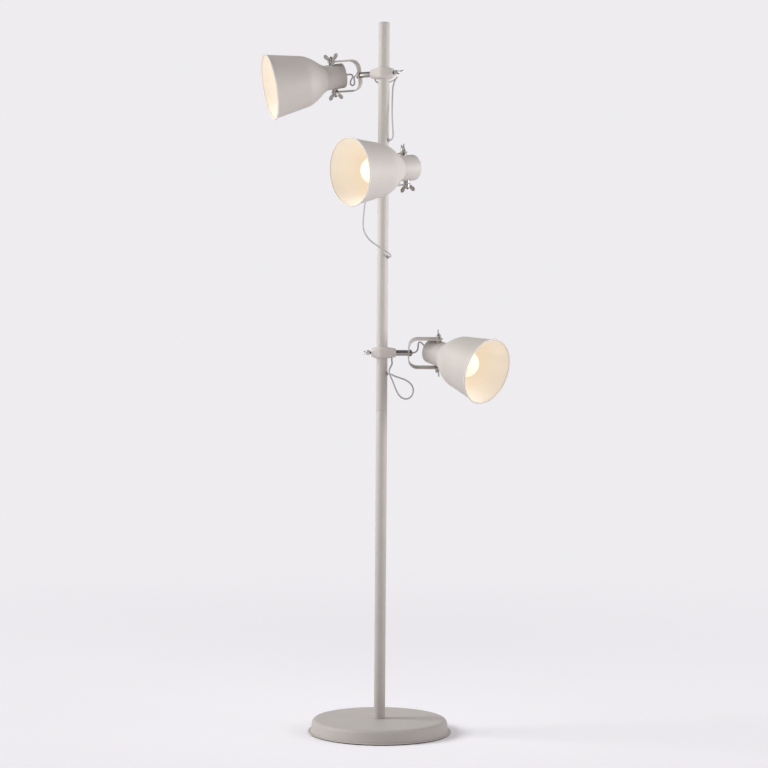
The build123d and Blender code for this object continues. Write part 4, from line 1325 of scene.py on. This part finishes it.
def make_shade():
    """Spun sheet: neck, bell and straight flank, with its rim rolled over a wire."""
    slope = (mouth_radius - rim_bead - flank_radius) / (mouth_distance - flank_end)
    outside = [Vector((neck_hole, neck_distance)), Vector((neck_radius - 0.5 * mm, neck_distance)),
               Vector((neck_radius, neck_distance + 0.5 * mm))] + bell(0)
    inside = bell(shade_wall)
    for share in (0.33, 0.66, 0.93):
        distance = flank_end + share * (mouth_distance - flank_end)
        outside.append(Vector((flank_radius + slope * (distance - flank_end), distance)))
        inside.append(Vector((flank_radius - shade_wall + slope * (distance - flank_end), distance)))
    bead = []
    middle = Vector((mouth_radius - rim_bead, mouth_distance - rim_bead))
    steps = 16
    for step in range(steps + 1):
        # the bead starts at the flank outside, at -111 degrees, and ends on it inside
        angle = radians(-111 + step * 320 / steps)
        bead.append(middle + Vector((cos(angle), sin(angle))) * rim_bead)
    floor = [
        Vector((neck_radius - shade_wall, neck_distance + shade_wall)),
        Vector((neck_hole, neck_distance + shade_wall)),
    ]
    shade = lathe("shade", outside + bead + inside[::-1] + floor, 144, closed=True)
    shade.data.materials.append(coat)
    shade.data.materials.append(inner_coat)
    # the rim takes the lighter coat, painted glare of the lit mouth
    shade.data.materials.append(rim_glare_coat)
    for polygon in shade.data.polygons:
        centre, normal = polygon.center, polygon.normal
        facing = (centre.x * normal.x + centre.y * normal.y) / Vector((centre.x, centre.y)).length
        back = centre.z < neck_distance + 2 * shade_wall and normal.z > 0.5
        if (facing < -0.15 or back) and centre.z < mouth_distance - 1.2 * rim_bead:
            polygon.material_index = 1
        elif centre.z > mouth_distance - 2.2 * rim_bead:
            polygon.material_index = 2
    return smooth(shade, 40)


def make_cup():
    """The drawn housing behind the shade: a round-edged can with a hole for the lead's bush."""
    hole = bush_neck + seat_fit
    inner = cup_radius - cup_wall
    points = [
        (inner, neck_distance), (cup_radius, neck_distance), (cup_radius, -cup_back), (hole, -cup_back),
        (hole, cup_wall - cup_back), (inner, cup_wall - cup_back), (inner, neck_distance),
    ]
    outline = rounded(points, (0.3 * mm, cup_edge, 0, 0, cup_edge - cup_wall), 7)
    cup = lathe("cup", outline[:-1], 128, closed=True)
    drill = rod("drill", screw_radius + seat_fit, -cup_radius - 5 * mm, cup_radius + 5 * mm, 40)
    cut(cup, turn_to(drill, along_x))
    finish_piece(cup, coat)
    return smooth(cup, 38)


def make_holder():
    """The lamp holder's sleeve and shoulder, and the notched ring that clamps the shade."""
    sleeve = neck_hole - 0.4 * mm
    points = [
        (holder_radius - 4 * mm, holder_back), (holder_radius, holder_back),
        (holder_radius, neck_distance - holder_shoulder_height),
        (holder_shoulder, neck_distance - holder_shoulder_height), (holder_shoulder, neck_distance),
        (sleeve, neck_distance), (sleeve, holder_front), (holder_bore, holder_front),
        (holder_bore, holder_floor), (4 * mm, holder_floor),
    ]
    radii = (1 * mm, 0.3 * mm, 0.5 * mm, 0.2 * mm, 0.2 * mm, 0.8 * mm, 0.8 * mm, 0.3 * mm)
    holder = lathe("holder", rounded(points, radii, 4), 96, caps=(True, True))
    start = neck_distance + shade_wall
    ring = closed_tube("ring", ring_radius, sleeve + 0.2 * mm, start, start + ring_height, 0.6 * mm, 96)
    select_faces(ring, lambda polygon: (
        Vector((polygon.center.x, polygon.center.y)).length > ring_radius - 0.3 * mm
        and abs(polygon.normal.z) < 0.1 and int(Vector((1, 0)).angle_signed(
            Vector((polygon.center.x, polygon.center.y))) / (2 * pi / 96) + 200) % 4 < 2))
    bpy.ops.mesh.inset(thickness=0.2 * mm, depth=-0.7 * mm, use_individual=False)
    bpy.ops.object.mode_set(mode="OBJECT")
    holder = join([holder, ring], "holder")
    finish_piece(holder, holder_plastic)
    return smooth(holder, 35)


def make_bulb():
    """An opal globe, lit, on a threaded cap."""
    collar = bulb_cap + 1.5 * mm
    cap_front = holder_front + 1 * mm
    outer, inner = [], []
    for step in range(27):
        angle = radians(1 + step * 129 / 26)
        out = Vector((sin(angle), cos(angle)))
        outer.append(Vector((0, bulb_centre)) + out * bulb_radius)
        inner.append(Vector((0, bulb_centre)) + out * (bulb_radius - 1 * mm))
    tangent = Vector((cos(radians(130)), -sin(radians(130)))) * 26 * mm
    neck = smooth_line([outer[-1], (collar, cap_front)], tangent, (0, -26 * mm), 10)[1:]
    lining = smooth_line([inner[-1], (collar - 1 * mm, cap_front)], tangent, (0, -26 * mm), 10)[1:]
    globe = lathe("globe", outer + neck + lining[::-1] + inner[::-1], 96, caps=(True, True))
    globe.data.materials.append(glass)
    globe.data.materials.append(glass_lining)
    middle = Vector((0, 0, bulb_centre))
    for polygon in globe.data.polygons:
        centre = polygon.center
        spoke = centre - middle if centre.z > bulb_centre - 19 * mm else Vector((centre.x, centre.y, 0))
        if polygon.normal.dot(spoke) < 0:
            polygon.material_index = 1
    pitch = bulb_cap_pitch
    # the contact in the middle and the slope round it
    outline = [(2 * mm, 5 * mm), (5 * mm, 5 * mm), (5.6 * mm, 6.2 * mm), (11.6 * mm, 9.4 * mm)]
    height = 10.4 * mm
    while height + pitch < cap_front:
        outline += [
            (bulb_cap - 1.3 * mm, height), (bulb_cap - 0.5 * mm, height + 0.22 * pitch),
            (bulb_cap, height + 0.5 * pitch), (bulb_cap - 0.5 * mm, height + 0.78 * pitch),
        ]
        height += pitch
    outline += [(bulb_cap - 0.6 * mm, height), (bulb_cap - 0.2 * mm, cap_front)]
    shell = [(radius - 1 * mm, distance + 0.3 * mm) for radius, distance in outline[::-1]]
    shell[0] = (bulb_cap - 1.2 * mm, cap_front)
    cap = lathe("cap", outline + shell, 64, caps=(True, True))
    finish_piece(cap, plated_thread)
    return smooth(join([globe, cap], "bulb"), 40)


def make_cup_bush():
    """A ribbed bush that tapers off round the lead."""
    outside = -cup_back - face_fit
    inside = cup_wall - cup_back + face_fit
    flange = 2 * mm
    points = [
        (bush_bore, inside + flange), (bush_flange, inside + flange), (bush_flange, inside),
        (bush_neck, inside), (bush_neck, outside), (bush_flange, outside),
        (bush_flange - 0.3 * mm, outside - 1.4 * mm),
    ]
    ribs = 3
    for rib in range(ribs):
        share = rib / ribs
        radius = 5.2 * mm - share * 1.5 * mm
        height = outside - 1.4 * mm - (rib + 0.2) * (bush_length - 1.6 * mm) / ribs
        points += [
            (radius - 0.7 * mm, height), (radius, height - 0.4 * mm), (radius - 0.1 * mm, height - 0.9 * mm),
        ]
    points += [(bush_bore + 0.9 * mm, -cup_back - bush_length), (bush_bore, -cup_back - bush_length)]
    bush = lathe("bush", points, 48, closed=True)
    finish_piece(bush, bush_plastic)
    return smooth(bush, 35)


def stud_seat(head, side):
    """Z along the hinge, outwards, and X along the shade."""
    outward = head.hinge * side
    return frame_matrix(head.axis, outward.cross(head.axis), outward, head.pivot)


clamp = make_clamp()
stem = make_stem()
stem_nut = make_stem_nut()
bracket = make_bracket()
wing_nut = make_wing_nut()
wing_screw = make_wing_screw()
stud = make_stud()
shade = make_shade()
cup = make_cup()
holder = make_holder()
bulb = make_bulb()
cup_bush = make_cup_bush()

for name in head_names:
    head = heads[name]
    unit, yoke, spot = f"{name}_clamp_unit", f"{name}_yoke", f"{name}_spot"
    screw_turn, upper_turn, lower_turn = wing_turns[name]
    put(clamp, f"{name}_turned_clamp", head.clamp, unit, [f"{name}_clamp"])
    put(stem, f"{name}_plated_stem", head.along, unit, [f"{name}_stem"])
    put(stem_nut, f"{name}_hexagon_nut", head.along, unit, [f"{name}_stem_nut"])
    put(bracket, f"{name}_bent_bracket", head.yoke, yoke, [f"{name}_bracket"])
    put(wing_screw, f"{name}_wing_screw", head.screw_seat(screw_turn),
        f"{name}_screw", [f"{name}_clamp_screw"])
    for word, side, turn in (("upper", 1, upper_turn), ("lower", -1, lower_turn)):
        put(wing_nut, f"{name}_{word}_winged_nut", head.wing_seat(side, turn * side),
            f"{name}_{word}_wing", [f"{name}_{word}_wing_nut"])
        put(stud, f"{name}_{word}_pivot_stud", stud_seat(head, side), spot, [f"{name}_pivot_studs"])
    put(shade, f"{name}_spun_shade", head.shade, spot, [f"{name}_shade"])
    put(cup, f"{name}_drawn_cup", head.shade, spot, [f"{name}_cup"])
    put(holder, f"{name}_holder_and_ring", head.shade, spot, [f"{name}_lamp_holder"])
    put(bulb, f"{name}_opal_bulb", head.shade, spot, [f"{name}_bulb"])
    put(cup_bush, f"{name}_ribbed_bush", head.shade, spot, [f"{name}_cord_bush"])
masters = (clamp, stem, stem_nut, bracket, wing_nut, wing_screw, stud, shade, cup, holder, bulb, cup_bush)
for master in masters:
    bpy.data.meshes.remove(master.data)

# the hidden pieces keep the shapes of the CAD
for node, material in (
    ("base_weight", weight_iron), ("foot_nut", plated), ("pole_joint", plated_thread),
    ("terminal_block", holder_plastic), ("inner_leads", sheath),
):
    finish_piece(frame["nodes"][node], material)
